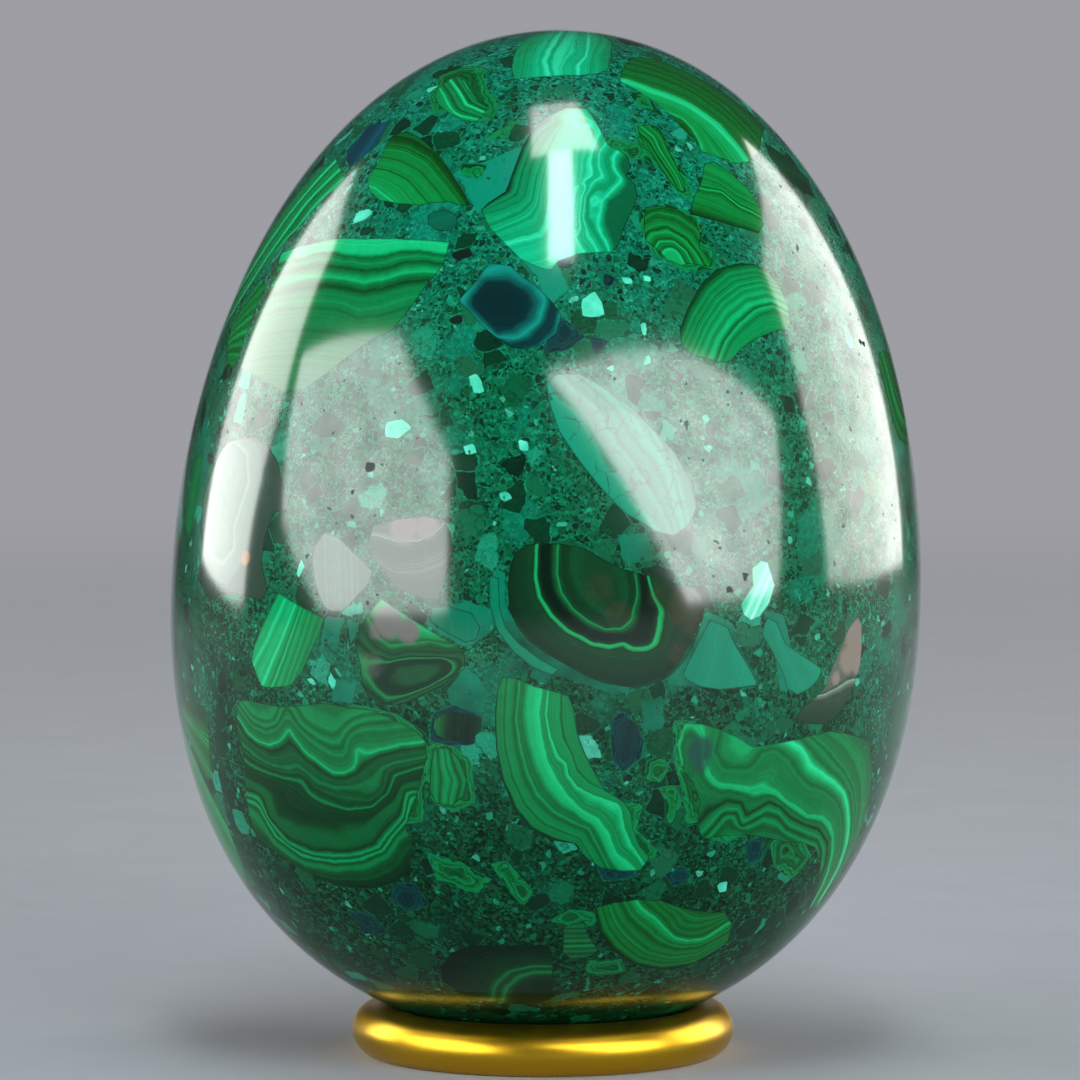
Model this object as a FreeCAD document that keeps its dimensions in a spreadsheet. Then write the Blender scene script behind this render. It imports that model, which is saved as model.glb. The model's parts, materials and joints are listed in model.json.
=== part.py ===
"""Polished breccia egg on a plain ring stand, built as separate stones.

Units are millimetres, +Z is up, and the origin is the centre of the ring's
underside.  The egg is a matrix of bonded grit with a pocket for each stone.
Every stone is cut out of the same egg by a cone that runs to the egg's
centre, less a core, so a stone and its pocket share their walls and floor.
"""
import FreeCAD
import Part
import math
import os
import Sketcher

SIZES = {
    "egg_width": 80.3,
    "egg_height": 107.8,
    "taper_share": 0.105,
    "fullness_share": 0.086,
    "egg_lean": 2.6,
    "thick_stone_depth": 8.0,
    "thin_stone_depth": 5.0,
    "cone_reach": 62.0,
    "ring_outer_diameter": 41.0,
    "ring_section_diameter": 5.6,
    "foot_flat_depth": 0.3,
    "seat_clearance": 0.2,
    "egg_shift": 0.0,
    "egg_rise": 60.0,
}

# Number of spans that carry the egg's outline from pole to pole
OUTLINE_STEPS = 16
# Number of outline points tried when the egg is set down on the ring
CONTACT_STEPS = 900
# Rounds in which the egg settles on the ring
SETTLE_ROUNDS = 60

# Azimuth and tilt in degrees of the directions the outlines are drawn along
VIEW_ANGLES = {
    "front": (0, 0),
    "upper": (0, 50),
    "lower": (0, -50),
    "left": (-60, 0),
    "right": (60, 0),
    "upper_left": (-40, 30),
    "upper_right": (40, 30),
    "lower_left": (-40, -30),
    "lower_right": (40, -30),
    "rear": (180, 0),
    "rear_upper": (180, 50),
    "rear_lower": (180, -50),
    "rear_left": (-120, 0),
    "rear_right": (120, 0),
    "rear_lower_right": (115, -45),
    "rear_upper_left": (-115, 45),
    "rear_upper_right": (115, 45),
}

# Stone outlines: the view, the pocket depth, and the points sideways and
# upward as shares of the distance along the view from the egg's centre
OUTLINE_SHARES = {
    "crest_slab_stone": ("upper", "thick", (
        (-0.122, 0.377), (-0.132, 0.44), (-0.128, 0.52), (-0.105, 0.62),
        (-0.06, 0.72), (0.01, 0.775), (0.06, 0.74), (0.095, 0.62),
        (0.092, 0.50), (0.083, 0.43), (0.06, 0.402), (0.02, 0.387),
        (-0.04, 0.38))),
    "crown_stone": ("upper", "thick", (
        (-0.19, 0.006), (-0.172, 0.022), (-0.132, 0.045), (-0.115, 0.10),
        (-0.098, 0.155), (-0.078, 0.20), (-0.045, 0.24), (-0.005, 0.268),
        (0.04, 0.27), (0.066, 0.22), (0.088, 0.172), (0.13, 0.155),
        (0.142, 0.128), (0.133, 0.10), (0.155, 0.083), (0.162, 0.045),
        (0.15, 0.005), (0.137, -0.035), (0.13, -0.075), (0.115, -0.098),
        (0.035, -0.112), (-0.01, -0.132), (-0.024, -0.158), (-0.06, -0.147),
        (-0.10, -0.127), (-0.134, -0.088), (-0.172, -0.042))),
    "left_fan_stone": ("upper_left", "thick", (
        (-0.082, 0.56), (-0.04, 0.585), (0.04, 0.55), (0.12, 0.505),
        (0.17, 0.465), (0.232, 0.418), (0.258, 0.396), (0.23, 0.387),
        (0.20, 0.388), (0.15, 0.372), (0.12, 0.36), (0.06, 0.355),
        (0.0, 0.36), (-0.05, 0.385), (-0.075, 0.42), (-0.07, 0.49))),
    "navy_stone": ("upper_left", "thin", (
        (-0.215, 0.64), (-0.125, 0.63), (-0.112, 0.54), (-0.14, 0.50),
        (-0.172, 0.478), (-0.21, 0.508), (-0.235, 0.55), (-0.218, 0.59))),
    "left_slab_stone": ("upper_left", "thick", (
        (0.244, 0.286), (0.12, 0.266), (0.0, 0.254), (-0.075, 0.256),
        (-0.20, 0.248), (-0.325, 0.252), (-0.315, 0.17), (-0.36, 0.05),
        (-0.385, -0.06), (-0.25, -0.105), (-0.13, -0.148), (-0.056, -0.136),
        (0.008, -0.092), (0.064, -0.044), (0.12, 0.004), (0.172, 0.036),
        (0.20, 0.09), (0.232, 0.18), (0.252, 0.225))),
    "left_rim_stone": ("upper_left", "thick", (
        (-0.268, 0.53), (-0.165, 0.437), (-0.225, 0.375), (-0.285, 0.312),
        (-0.36, 0.268), (-0.455, 0.20), (-0.56, 0.15), (-0.72, 0.11),
        (-0.78, 0.19), (-0.66, 0.30), (-0.54, 0.385), (-0.43, 0.46),
        (-0.335, 0.52))),
    "teal_nodule_stone": ("upper", "thick", (
        (-0.257, -0.22), (-0.207, -0.173), (-0.173, -0.13), (-0.12, -0.143),
        (-0.095, -0.17), (-0.06, -0.195), (-0.02, -0.235), (0.004, -0.268),
        (-0.008, -0.318), (-0.045, -0.352), (-0.085, -0.365),
        (-0.125, -0.358), (-0.167, -0.327), (-0.205, -0.287),
        (-0.233, -0.247))),
    "right_crest_stone": ("upper", "thick", (
        (0.108, 0.387), (0.113, 0.44), (0.138, 0.53), (0.20, 0.575),
        (0.33, 0.59), (0.45, 0.60), (0.54, 0.595), (0.51, 0.50),
        (0.497, 0.43), (0.48, 0.375), (0.46, 0.325), (0.443, 0.30),
        (0.403, 0.265), (0.35, 0.252), (0.31, 0.242), (0.29, 0.267),
        (0.257, 0.287), (0.225, 0.32), (0.165, 0.357))),
    "right_shoulder_stone": ("upper", "thin", (
        (0.292, 0.048), (0.298, 0.10), (0.312, 0.145), (0.318, 0.208),
        (0.345, 0.232), (0.40, 0.226), (0.45, 0.212), (0.50, 0.178),
        (0.512, 0.13), (0.50, 0.096), (0.417, 0.072), (0.35, 0.058))),
    "arch_stone": ("upper", "thin", (
        (0.182, 0.03), (0.217, 0.045), (0.263, 0.05), (0.312, 0.035),
        (0.328, 0.005), (0.33, -0.027), (0.372, -0.048), (0.37, -0.068),
        (0.31, -0.08), (0.288, -0.092), (0.25, -0.088), (0.225, -0.07),
        (0.19, -0.053), (0.182, -0.013))),
    "wavy_wedge_stone": ("upper", "thin", (
        (0.15, 0.245), (0.177, 0.26), (0.207, 0.247), (0.225, 0.205),
        (0.247, 0.167), (0.27, 0.127), (0.275, 0.10), (0.257, 0.098),
        (0.23, 0.118), (0.203, 0.15), (0.177, 0.19), (0.157, 0.213))),
    "right_fan_stone": ("upper_right", "thick", (
        (-0.298, 0.045), (-0.293, 0.092), (-0.256, 0.14), (-0.20, 0.196),
        (-0.144, 0.228), (-0.088, 0.237), (-0.035, 0.237), (0.004, 0.224),
        (0.032, 0.188), (0.05, 0.14), (0.048, 0.092), (0.03, 0.07),
        (-0.01, 0.068), (-0.05, 0.056), (-0.09, 0.043), (-0.128, 0.024),
        (-0.168, -0.004), (-0.20, -0.005), (-0.226, 0.006),
        (-0.264, 0.02))),
    "cracked_panel_stone": ("front", "thin", (
        (-0.03, 0.474), (0.0, 0.50), (0.06, 0.505), (0.13, 0.47),
        (0.20, 0.425), (0.27, 0.36), (0.335, 0.30), (0.385, 0.225),
        (0.40, 0.15), (0.375, 0.10), (0.33, 0.07), (0.28, 0.078),
        (0.235, 0.10), (0.19, 0.122), (0.155, 0.155), (0.12, 0.19),
        (0.085, 0.23), (0.05, 0.275), (0.012, 0.33), (-0.005, 0.375),
        (-0.022, 0.42))),
    "dark_nodule_stone": ("front", "thick", (
        (-0.06, 0.03), (-0.02, 0.036), (0.03, 0.036), (0.09, 0.028),
        (0.14, 0.001), (0.185, -0.02), (0.24, -0.034), (0.29, -0.04),
        (0.345, -0.057), (0.39, -0.068), (0.418, -0.09), (0.432, -0.12),
        (0.425, -0.152), (0.404, -0.188), (0.382, -0.228),
        (0.352, -0.282), (0.325, -0.308), (0.29, -0.321), (0.245, -0.329),
        (0.20, -0.323), (0.155, -0.314), (0.11, -0.297), (0.06, -0.27),
        (0.0, -0.238), (-0.045, -0.208), (-0.075, -0.172),
        (-0.094, -0.13), (-0.101, -0.08), (-0.098, -0.025),
        (-0.086, 0.01))),
    "pale_nodule_stone": ("left", "thick", (
        (-0.045, 0.20), (-0.01, 0.236), (0.05, 0.25), (0.125, 0.262),
        (0.19, 0.243), (0.24, 0.21), (0.27, 0.165), (0.298, 0.118),
        (0.316, 0.082), (0.262, 0.066), (0.235, 0.0), (0.23, -0.065),
        (0.262, -0.14), (0.24, -0.168), (0.15, -0.156), (0.07, -0.156),
        (0.0, -0.185), (-0.052, -0.155), (-0.065, -0.07),
        (-0.105, 0.015), (-0.10, 0.10))),
    "red_grey_nodule_stone": ("front", "thin", (
        (-0.505, 0.058), (-0.42, 0.083), (-0.335, 0.093), (-0.28, 0.083),
        (-0.258, 0.05), (-0.25, 0.0), (-0.26, -0.04), (-0.273, -0.085),
        (-0.284, -0.122), (-0.325, -0.125), (-0.37, -0.115),
        (-0.415, -0.10), (-0.455, -0.06), (-0.495, -0.035),
        (-0.515, 0.005))),
    "pale_shard_stone": ("front", "thin", (
        (-0.699, 0.034), (-0.636, 0.022), (-0.588, -0.008),
        (-0.54, -0.035), (-0.492, -0.068), (-0.504, -0.104),
        (-0.54, -0.14), (-0.57, -0.172), (-0.60, -0.197),
        (-0.642, -0.203), (-0.678, -0.196), (-0.702, -0.165),
        (-0.726, -0.128), (-0.75, -0.062), (-0.744, -0.014))),
    "striped_stone": ("lower_left", "thin", (
        (-0.056, 0.408), (0.03, 0.376), (0.11, 0.348), (0.094, 0.31),
        (0.068, 0.262), (0.032, 0.20), (-0.008, 0.165), (-0.085, 0.152),
        (-0.11, 0.155), (-0.148, 0.21), (-0.14, 0.25), (-0.104, 0.32),
        (-0.08, 0.365))),
    "kidney_stone": ("front", "thick", (
        (-0.456, -0.14), (-0.387, -0.17), (-0.317, -0.20), (-0.24, -0.232),
        (-0.206, -0.248), (-0.20, -0.278), (-0.227, -0.314),
        (-0.263, -0.35), (-0.311, -0.38), (-0.36, -0.414),
        (-0.408, -0.432), (-0.456, -0.437), (-0.498, -0.425),
        (-0.522, -0.392), (-0.522, -0.344), (-0.54, -0.296),
        (-0.528, -0.23), (-0.498, -0.188), (-0.474, -0.158))),
    "left_scallop_stone": ("lower_left", "thick", (
        (-0.21, 0.08), (-0.20, 0.106), (-0.15, 0.113), (-0.04, 0.113),
        (0.04, 0.125), (0.10, 0.133), (0.16, 0.125), (0.24, 0.118),
        (0.30, 0.088), (0.352, 0.06), (0.37, 0.033), (0.366, -0.005),
        (0.343, -0.045), (0.323, -0.082), (0.296, -0.12),
        (0.266, -0.165), (0.272, -0.20), (0.264, -0.232),
        (0.24, -0.272), (0.20, -0.298), (0.12, -0.312), (0.05, -0.308),
        (-0.02, -0.294), (-0.09, -0.272), (-0.15, -0.25), (-0.20, -0.24),
        (-0.217, -0.20), (-0.208, -0.12), (-0.195, -0.05), (-0.20, 0.0),
        (-0.217, 0.035))),
    "small_dark_stone": ("front", "thin", (
        (-0.283, -0.445), (-0.25, -0.415), (-0.20, -0.415),
        (-0.155, -0.42), (-0.155, -0.455), (-0.185, -0.493),
        (-0.25, -0.50), (-0.278, -0.492), (-0.287, -0.468))),
    "small_wavy_stone": ("front", "thin", (
        (-0.285, -0.53), (-0.24, -0.523), (-0.21, -0.555),
        (-0.192, -0.61), (-0.203, -0.665), (-0.235, -0.705),
        (-0.285, -0.71), (-0.303, -0.67), (-0.298, -0.60))),
    "centre_arc_stone": ("lower", "thick", (
        (-0.12, 0.65), (-0.128, 0.60), (-0.126, 0.525), (-0.112, 0.432),
        (-0.088, 0.348), (-0.056, 0.283), (-0.018, 0.236),
        (0.028, 0.208), (0.084, 0.198), (0.112, 0.161), (0.145, 0.133),
        (0.196, 0.119), (0.234, 0.114), (0.258, 0.142), (0.235, 0.18),
        (0.222, 0.226), (0.22, 0.27), (0.201, 0.297), (0.159, 0.329),
        (0.136, 0.376), (0.112, 0.432), (0.094, 0.488), (0.089, 0.544),
        (0.072, 0.598), (0.03, 0.612), (-0.025, 0.625),
        (-0.08, 0.648))),
    "right_scallop_stone": ("lower_right", "thick", (
        (-0.312, 0.116), (-0.256, 0.118), (-0.20, 0.11), (-0.152, 0.095),
        (-0.104, 0.075), (-0.04, 0.083), (0.024, 0.091), (0.08, 0.099),
        (0.144, 0.103), (0.20, 0.093), (0.264, 0.075), (0.344, 0.05),
        (0.365, 0.01), (0.392, -0.04), (0.416, -0.096), (0.432, -0.16),
        (0.438, -0.23), (0.43, -0.30), (0.405, -0.37), (0.37, -0.42),
        (0.32, -0.42), (0.30, -0.36), (0.27, -0.29), (0.235, -0.235),
        (0.19, -0.19), (0.13, -0.165), (0.07, -0.155), (0.01, -0.14),
        (-0.05, -0.132), (-0.12, -0.136), (-0.175, -0.15),
        (-0.20, -0.12), (-0.215, -0.06), (-0.25, -0.02), (-0.29, 0.01),
        (-0.318, 0.06))),
    "left_teal_stone": ("front", "thin", (
        (0.45, -0.155), (0.515, -0.182), (0.531, -0.212),
        (0.556, -0.248), (0.597, -0.296), (0.634, -0.345),
        (0.655, -0.37), (0.59, -0.366), (0.50, -0.36), (0.43, -0.342),
        (0.385, -0.318), (0.372, -0.30), (0.40, -0.245),
        (0.425, -0.20))),
    "right_teal_stone": ("lower_right", "thin", (
        (-0.118, 0.41), (-0.08, 0.395), (-0.045, 0.335), (0.01, 0.305),
        (0.06, 0.282), (0.094, 0.262), (0.08, 0.235), (0.055, 0.215),
        (0.01, 0.20), (-0.025, 0.215), (-0.045, 0.255),
        (-0.088, 0.312), (-0.128, 0.36))),
    "leaf_shard_stone": ("lower_right", "thin", (
        (0.248, 0.405), (0.268, 0.376), (0.268, 0.32), (0.26, 0.256),
        (0.232, 0.208), (0.20, 0.166), (0.16, 0.134), (0.12, 0.122),
        (0.066, 0.126), (0.012, 0.14), (0.03, 0.166), (0.07, 0.188),
        (0.105, 0.212), (0.13, 0.262), (0.165, 0.32), (0.20, 0.368))),
    "bottom_fan_stone": ("lower", "thick", (
        (0.13, 0.035), (0.175, 0.042), (0.225, 0.04), (0.28, 0.022),
        (0.336, -0.02), (0.39, -0.055), (0.445, -0.085), (0.465, -0.14),
        (0.455, -0.20), (0.40, -0.228), (0.33, -0.222), (0.271, -0.194),
        (0.215, -0.147), (0.168, -0.091), (0.142, -0.035))),
    "bottom_arc_stone": ("lower", "thick", (
        (-0.186, -0.18), (-0.163, -0.12), (-0.121, -0.083),
        (-0.046, -0.068), (0.036, -0.06), (0.046, -0.10),
        (0.048, -0.175), (0.05, -0.24), (0.02, -0.275), (-0.06, -0.29),
        (-0.14, -0.275), (-0.182, -0.23))),
    "small_striped_stone": ("lower", "thin", (
        (0.065, -0.01), (0.108, 0.002), (0.118, -0.04), (0.14, -0.085),
        (0.13, -0.10), (0.085, -0.108), (0.065, -0.085))),
    "left_low_stone": ("lower_left", "thick", (
        (-0.72, -0.10), (-0.60, -0.122), (-0.52, -0.147),
        (-0.44, -0.197), (-0.37, -0.235), (-0.352, -0.28),
        (-0.35, -0.36), (-0.38, -0.42), (-0.44, -0.50), (-0.52, -0.52),
        (-0.62, -0.44), (-0.72, -0.30), (-0.77, -0.18))),
    "left_waist_stone": ("lower_left", "thin", (
        (-0.62, 0.0), (-0.50, 0.028), (-0.395, 0.045), (-0.37, -0.005),
        (-0.375, -0.08), (-0.395, -0.15), (-0.44, -0.165),
        (-0.52, -0.118), (-0.62, -0.092))),
    "right_rim_stone": ("right", "thick", (
        (0.16, 0.56), (0.165, 0.47), (0.18, 0.38), (0.21, 0.335),
        (0.28, 0.318), (0.40, 0.33), (0.51, 0.36), (0.55, 0.45),
        (0.52, 0.55), (0.42, 0.62), (0.28, 0.63), (0.20, 0.61))),
    "dark_rim_stone": ("upper_right", "thin", (
        (0.205, 0.64), (0.30, 0.63), (0.37, 0.575), (0.36, 0.51),
        (0.28, 0.49), (0.22, 0.52), (0.19, 0.575))),
    "black_pebble_stone": ("front", "thin", (
        (0.197, -0.434), (0.224, -0.414), (0.254, -0.434),
        (0.264, -0.476), (0.256, -0.518), (0.224, -0.532),
        (0.198, -0.512), (0.188, -0.47))),
    "teal_triangle_stone": ("front", "thin", (
        (-0.30, -0.145), (-0.25, -0.138), (-0.19, -0.15),
        (-0.165, -0.185), (-0.175, -0.218), (-0.205, -0.228),
        (-0.26, -0.206), (-0.305, -0.183))),
    "teal_strip_stone": ("front", "thin", (
        (-0.15, -0.05), (-0.124, -0.058), (-0.118, -0.13),
        (-0.10, -0.18), (-0.067, -0.216), (-0.015, -0.252),
        (0.04, -0.28), (0.02, -0.295), (-0.03, -0.277), (-0.08, -0.24),
        (-0.122, -0.19), (-0.145, -0.13))),
    "mint_block_stone": ("front", "thin", (
        (0.60, -0.015), (0.64, 0.01), (0.668, 0.003), (0.703, -0.068),
        (0.68, -0.122), (0.64, -0.16), (0.60, -0.168), (0.57, -0.15),
        (0.557, -0.118), (0.605, -0.065))),
    "left_edge_stone": ("left", "thin", (
        (-0.235, 0.185), (-0.175, 0.20), (-0.15, 0.12), (-0.155, 0.03),
        (-0.18, -0.03), (-0.235, -0.01), (-0.25, 0.08))),
    "left_shoulder_stone": ("upper_left", "thin", (
        (-0.56, 0.10), (-0.47, 0.155), (-0.40, 0.20), (-0.345, 0.16),
        (-0.385, 0.06), (-0.412, -0.05), (-0.45, -0.06),
        (-0.52, 0.0))),
    "left_crest_stone": ("upper", "thin", (
        (-0.30, 0.45), (-0.26, 0.47), (-0.235, 0.42), (-0.215, 0.36),
        (-0.20, 0.32), (-0.175, 0.29), (-0.20, 0.25), (-0.235, 0.27),
        (-0.27, 0.31), (-0.30, 0.36), (-0.315, 0.41))),
    "round_dark_stone": ("upper_left", "thin", (
        (0.155, 0.338), (0.17, 0.355), (0.20, 0.365), (0.232, 0.36),
        (0.246, 0.338), (0.235, 0.315), (0.20, 0.305),
        (0.168, 0.315))),
    "rear_scallop_stone": ("rear", "thick", (
        (-0.52, 0.30), (-0.44, 0.41), (-0.30, 0.47), (-0.14, 0.46),
        (0.02, 0.40), (0.13, 0.31), (0.17, 0.20), (0.12, 0.11),
        (0.04, 0.07), (-0.05, 0.10), (-0.15, 0.06), (-0.25, 0.02),
        (-0.36, 0.05), (-0.42, 0.13), (-0.53, 0.18))),
    "rear_nodule_stone": ("rear", "thick", (
        (0.26, -0.02), (0.36, 0.03), (0.48, 0.01), (0.57, -0.07),
        (0.60, -0.18), (0.56, -0.29), (0.46, -0.36), (0.34, -0.37),
        (0.24, -0.31), (0.18, -0.21), (0.18, -0.10))),
    "rear_slab_stone": ("rear", "thick", (
        (-0.62, -0.10), (-0.48, -0.07), (-0.30, -0.08), (-0.12, -0.12),
        (0.03, -0.14), (0.10, -0.20), (0.06, -0.31), (0.09, -0.42),
        (-0.04, -0.47), (-0.22, -0.45), (-0.40, -0.47), (-0.55, -0.41),
        (-0.60, -0.28), (-0.66, -0.20))),
    "rear_shard_stone": ("rear", "thin", (
        (0.26, 0.24), (0.36, 0.16), (0.50, 0.13), (0.60, 0.20),
        (0.54, 0.30), (0.46, 0.44), (0.36, 0.52), (0.27, 0.42))),
    "rear_crown_stone": ("rear_upper", "thick", (
        (-0.48, -0.10), (-0.40, 0.04), (-0.30, 0.15), (-0.17, 0.22),
        (-0.02, 0.24), (0.09, 0.19), (0.14, 0.08), (0.09, -0.03),
        (0.12, -0.14), (0.04, -0.22), (-0.09, -0.24), (-0.21, -0.19),
        (-0.33, -0.22), (-0.43, -0.18))),
    "rear_fan_stone": ("rear_upper", "thin", (
        (0.16, 0.20), (0.21, 0.26), (0.27, 0.22), (0.32, 0.10),
        (0.37, -0.04), (0.43, -0.15), (0.36, -0.22), (0.26, -0.17),
        (0.21, -0.06), (0.22, 0.04), (0.17, 0.11))),
    "rear_crest_stone": ("rear_upper", "thin", (
        (-0.20, 0.36), (-0.08, 0.31), (0.04, 0.35), (0.11, 0.32),
        (0.17, 0.40), (0.13, 0.50), (0.09, 0.57), (0.0, 0.56),
        (-0.10, 0.62), (-0.20, 0.57), (-0.27, 0.46))),
    "rear_low_stone": ("rear_lower", "thick", (
        (-0.40, 0.14), (-0.28, 0.24), (-0.14, 0.21), (0.0, 0.27),
        (0.12, 0.22), (0.16, 0.10), (0.10, -0.01), (0.12, -0.12),
        (0.0, -0.17), (-0.14, -0.13), (-0.27, -0.16), (-0.38, -0.06))),
    "rear_teal_stone": ("rear_lower", "thin", (
        (0.24, 0.18), (0.34, 0.24), (0.43, 0.17), (0.43, 0.04),
        (0.38, -0.08), (0.30, -0.12), (0.24, -0.03), (0.27, 0.08))),
    "right_flank_stone": ("rear_right", "thick", (
        (-0.36, 0.20), (-0.26, 0.33), (-0.12, 0.42), (0.04, 0.44),
        (0.18, 0.38), (0.27, 0.27), (0.24, 0.14), (0.12, 0.06),
        (0.03, 0.10), (-0.09, 0.05), (-0.20, 0.01), (-0.32, 0.07))),
    "right_haunch_stone": ("rear_right", "thick", (
        (-0.42, -0.10), (-0.28, -0.05), (-0.14, -0.09), (0.0, -0.06),
        (0.14, -0.11), (0.21, -0.21), (0.17, -0.33), (0.05, -0.39),
        (-0.08, -0.36), (-0.20, -0.42), (-0.33, -0.36),
        (-0.40, -0.24))),
    "left_flank_stone": ("rear_left", "thick", (
        (-0.40, 0.18), (-0.30, 0.31), (-0.15, 0.37), (0.0, 0.44),
        (0.14, 0.42), (0.26, 0.32), (0.36, 0.20), (0.30, 0.08),
        (0.16, 0.05), (0.05, -0.01), (-0.08, 0.04), (-0.22, 0.02),
        (-0.35, 0.08))),
    "left_haunch_stone": ("rear_left", "thick", (
        (-0.34, -0.10), (-0.20, -0.07), (-0.08, -0.12), (0.06, -0.09),
        (0.20, -0.13), (0.29, -0.23), (0.24, -0.35), (0.11, -0.41),
        (-0.03, -0.37), (-0.16, -0.42), (-0.30, -0.36),
        (-0.38, -0.22))),
    "right_under_stone": ("rear_lower_right", "thin", (
        (-0.28, 0.10), (-0.15, 0.19), (0.0, 0.15), (0.14, 0.20),
        (0.25, 0.12), (0.28, -0.02), (0.15, -0.13), (-0.02, -0.10),
        (-0.17, -0.13), (-0.27, -0.03))),
    "right_upper_stone": ("rear_upper_right", "thin", (
        (-0.24, 0.05), (-0.14, 0.17), (0.02, 0.21), (0.15, 0.14),
        (0.19, 0.0), (0.08, -0.10), (-0.07, -0.07), (-0.20, -0.09))),
    "left_upper_stone": ("rear_upper_left", "thin", (
        (-0.20, 0.04), (-0.11, 0.16), (0.05, 0.19), (0.17, 0.10),
        (0.20, -0.03), (0.07, -0.12), (-0.10, -0.10))),
}


def make_sheet(document):
    """Write every size into the spreadsheet as a plain number with an alias."""
    sheet = document.addObject("Spreadsheet::Sheet", "sizes")
    for row, (alias, value) in enumerate(SIZES.items(), start=1):
        sheet.set("A%d" % row, alias)
        sheet.set("B%d" % row, str(value))
        sheet.setAlias("B%d" % row, alias)
    document.recompute()
    return sheet


def read_sizes(sheet):
    """Return the sheet's values by alias."""
    return {alias: float(sheet.get(alias)) for alias in SIZES}


def egg_outline(values, inset):
    """Return the egg's right-hand outline, bottom pole to top pole.

    The height and the width both shrink by the inset, so a smaller core has
    the same form as the egg.
    """
    taper = values["taper_share"]
    fullness = values["fullness_share"]

    def spread(angle):
        rise = math.sin(angle)
        return math.cos(angle) * (1 - taper * rise + fullness * rise * rise)

    scale = 1 - 2 * inset / values["egg_width"]
    angles = [math.pi * (step / CONTACT_STEPS - 0.5) for step in range(CONTACT_STEPS + 1)]
    widest = max(spread(angle) for angle in angles)
    half_width = scale * values["egg_width"] / 2 / widest
    half_height = scale * values["egg_height"] / 2

    def point(angle):
        return FreeCAD.Vector(half_width * spread(angle), 0, half_height * math.sin(angle))

    return point


def egg_solid(values, inset):
    """Revolve a smooth curve through the outline about the egg's axis.

    The curve runs right round the outline, so it crosses both poles level,
    and only its right-hand half is revolved.  The front and the back are
    revolved on their own, so no face closes on itself.
    """
    point = egg_outline(values, inset)
    steps = range(2 * OUTLINE_STEPS)
    curve = Part.BSplineCurve()
    curve.interpolate(
        Points=[point(math.pi * (step / OUTLINE_STEPS - 0.5)) for step in steps],
        Parameters=list(range(2 * OUTLINE_STEPS + 1)),
        PeriodicFlag=True,
    )
    curve.segment(0, OUTLINE_STEPS)
    axis = Part.makeLine(curve.value(OUTLINE_STEPS), curve.value(0))
    half = Part.Face(Part.Wire([curve.toShape(), axis]))
    back, front = [
        half.revolve(FreeCAD.Vector(0, 0, 0), FreeCAD.Vector(0, 0, turn), 180)
        for turn in (1, -1)
    ]
    return back.fuse(front).Solids[0]


def make_egg(document, values, name, inset):
    """Add an egg whose surface lies the inset below the outside."""
    egg = document.addObject("Part::Feature", name)
    egg.Shape = egg_solid(values, inset)
    egg.Placement = FreeCAD.Placement()
    return egg


def settle_egg(values):
    """Find where the leaning egg rests with even gaps left and right.

    Returns the sideways shift and the height of the egg's centre.
    """
    lean = math.radians(values["egg_lean"])
    point = egg_outline(values, 0)
    section = values["ring_section_diameter"] / 2
    tube_radius = values["ring_outer_diameter"] / 2 - section
    tube_height = section - values["foot_flat_depth"]
    lower_half = [
        point(-math.pi / 2 * step / CONTACT_STEPS) for step in range(CONTACT_STEPS + 1)
    ]
    outline = [(side * spot.x, spot.z) for spot in lower_half for side in (-1, 1)]
    leaned = [
        (x * math.cos(lean) + z * math.sin(lean), z * math.cos(lean) - x * math.sin(lean))
        for x, z in outline
    ]

    def gap(side, shift, rise):
        reach = min(
            math.hypot(x + shift - side * tube_radius, z + rise - tube_height)
            for x, z in leaned
        )
        return reach - section

    shift = 0
    rise = tube_height + values["egg_height"] / 2
    for _ in range(SETTLE_ROUNDS):
        left = gap(-1, shift, rise)
        right = gap(1, shift, rise)
        shift += right - left
        rise += values["seat_clearance"] - (left + right) / 2
    return shift, rise


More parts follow.
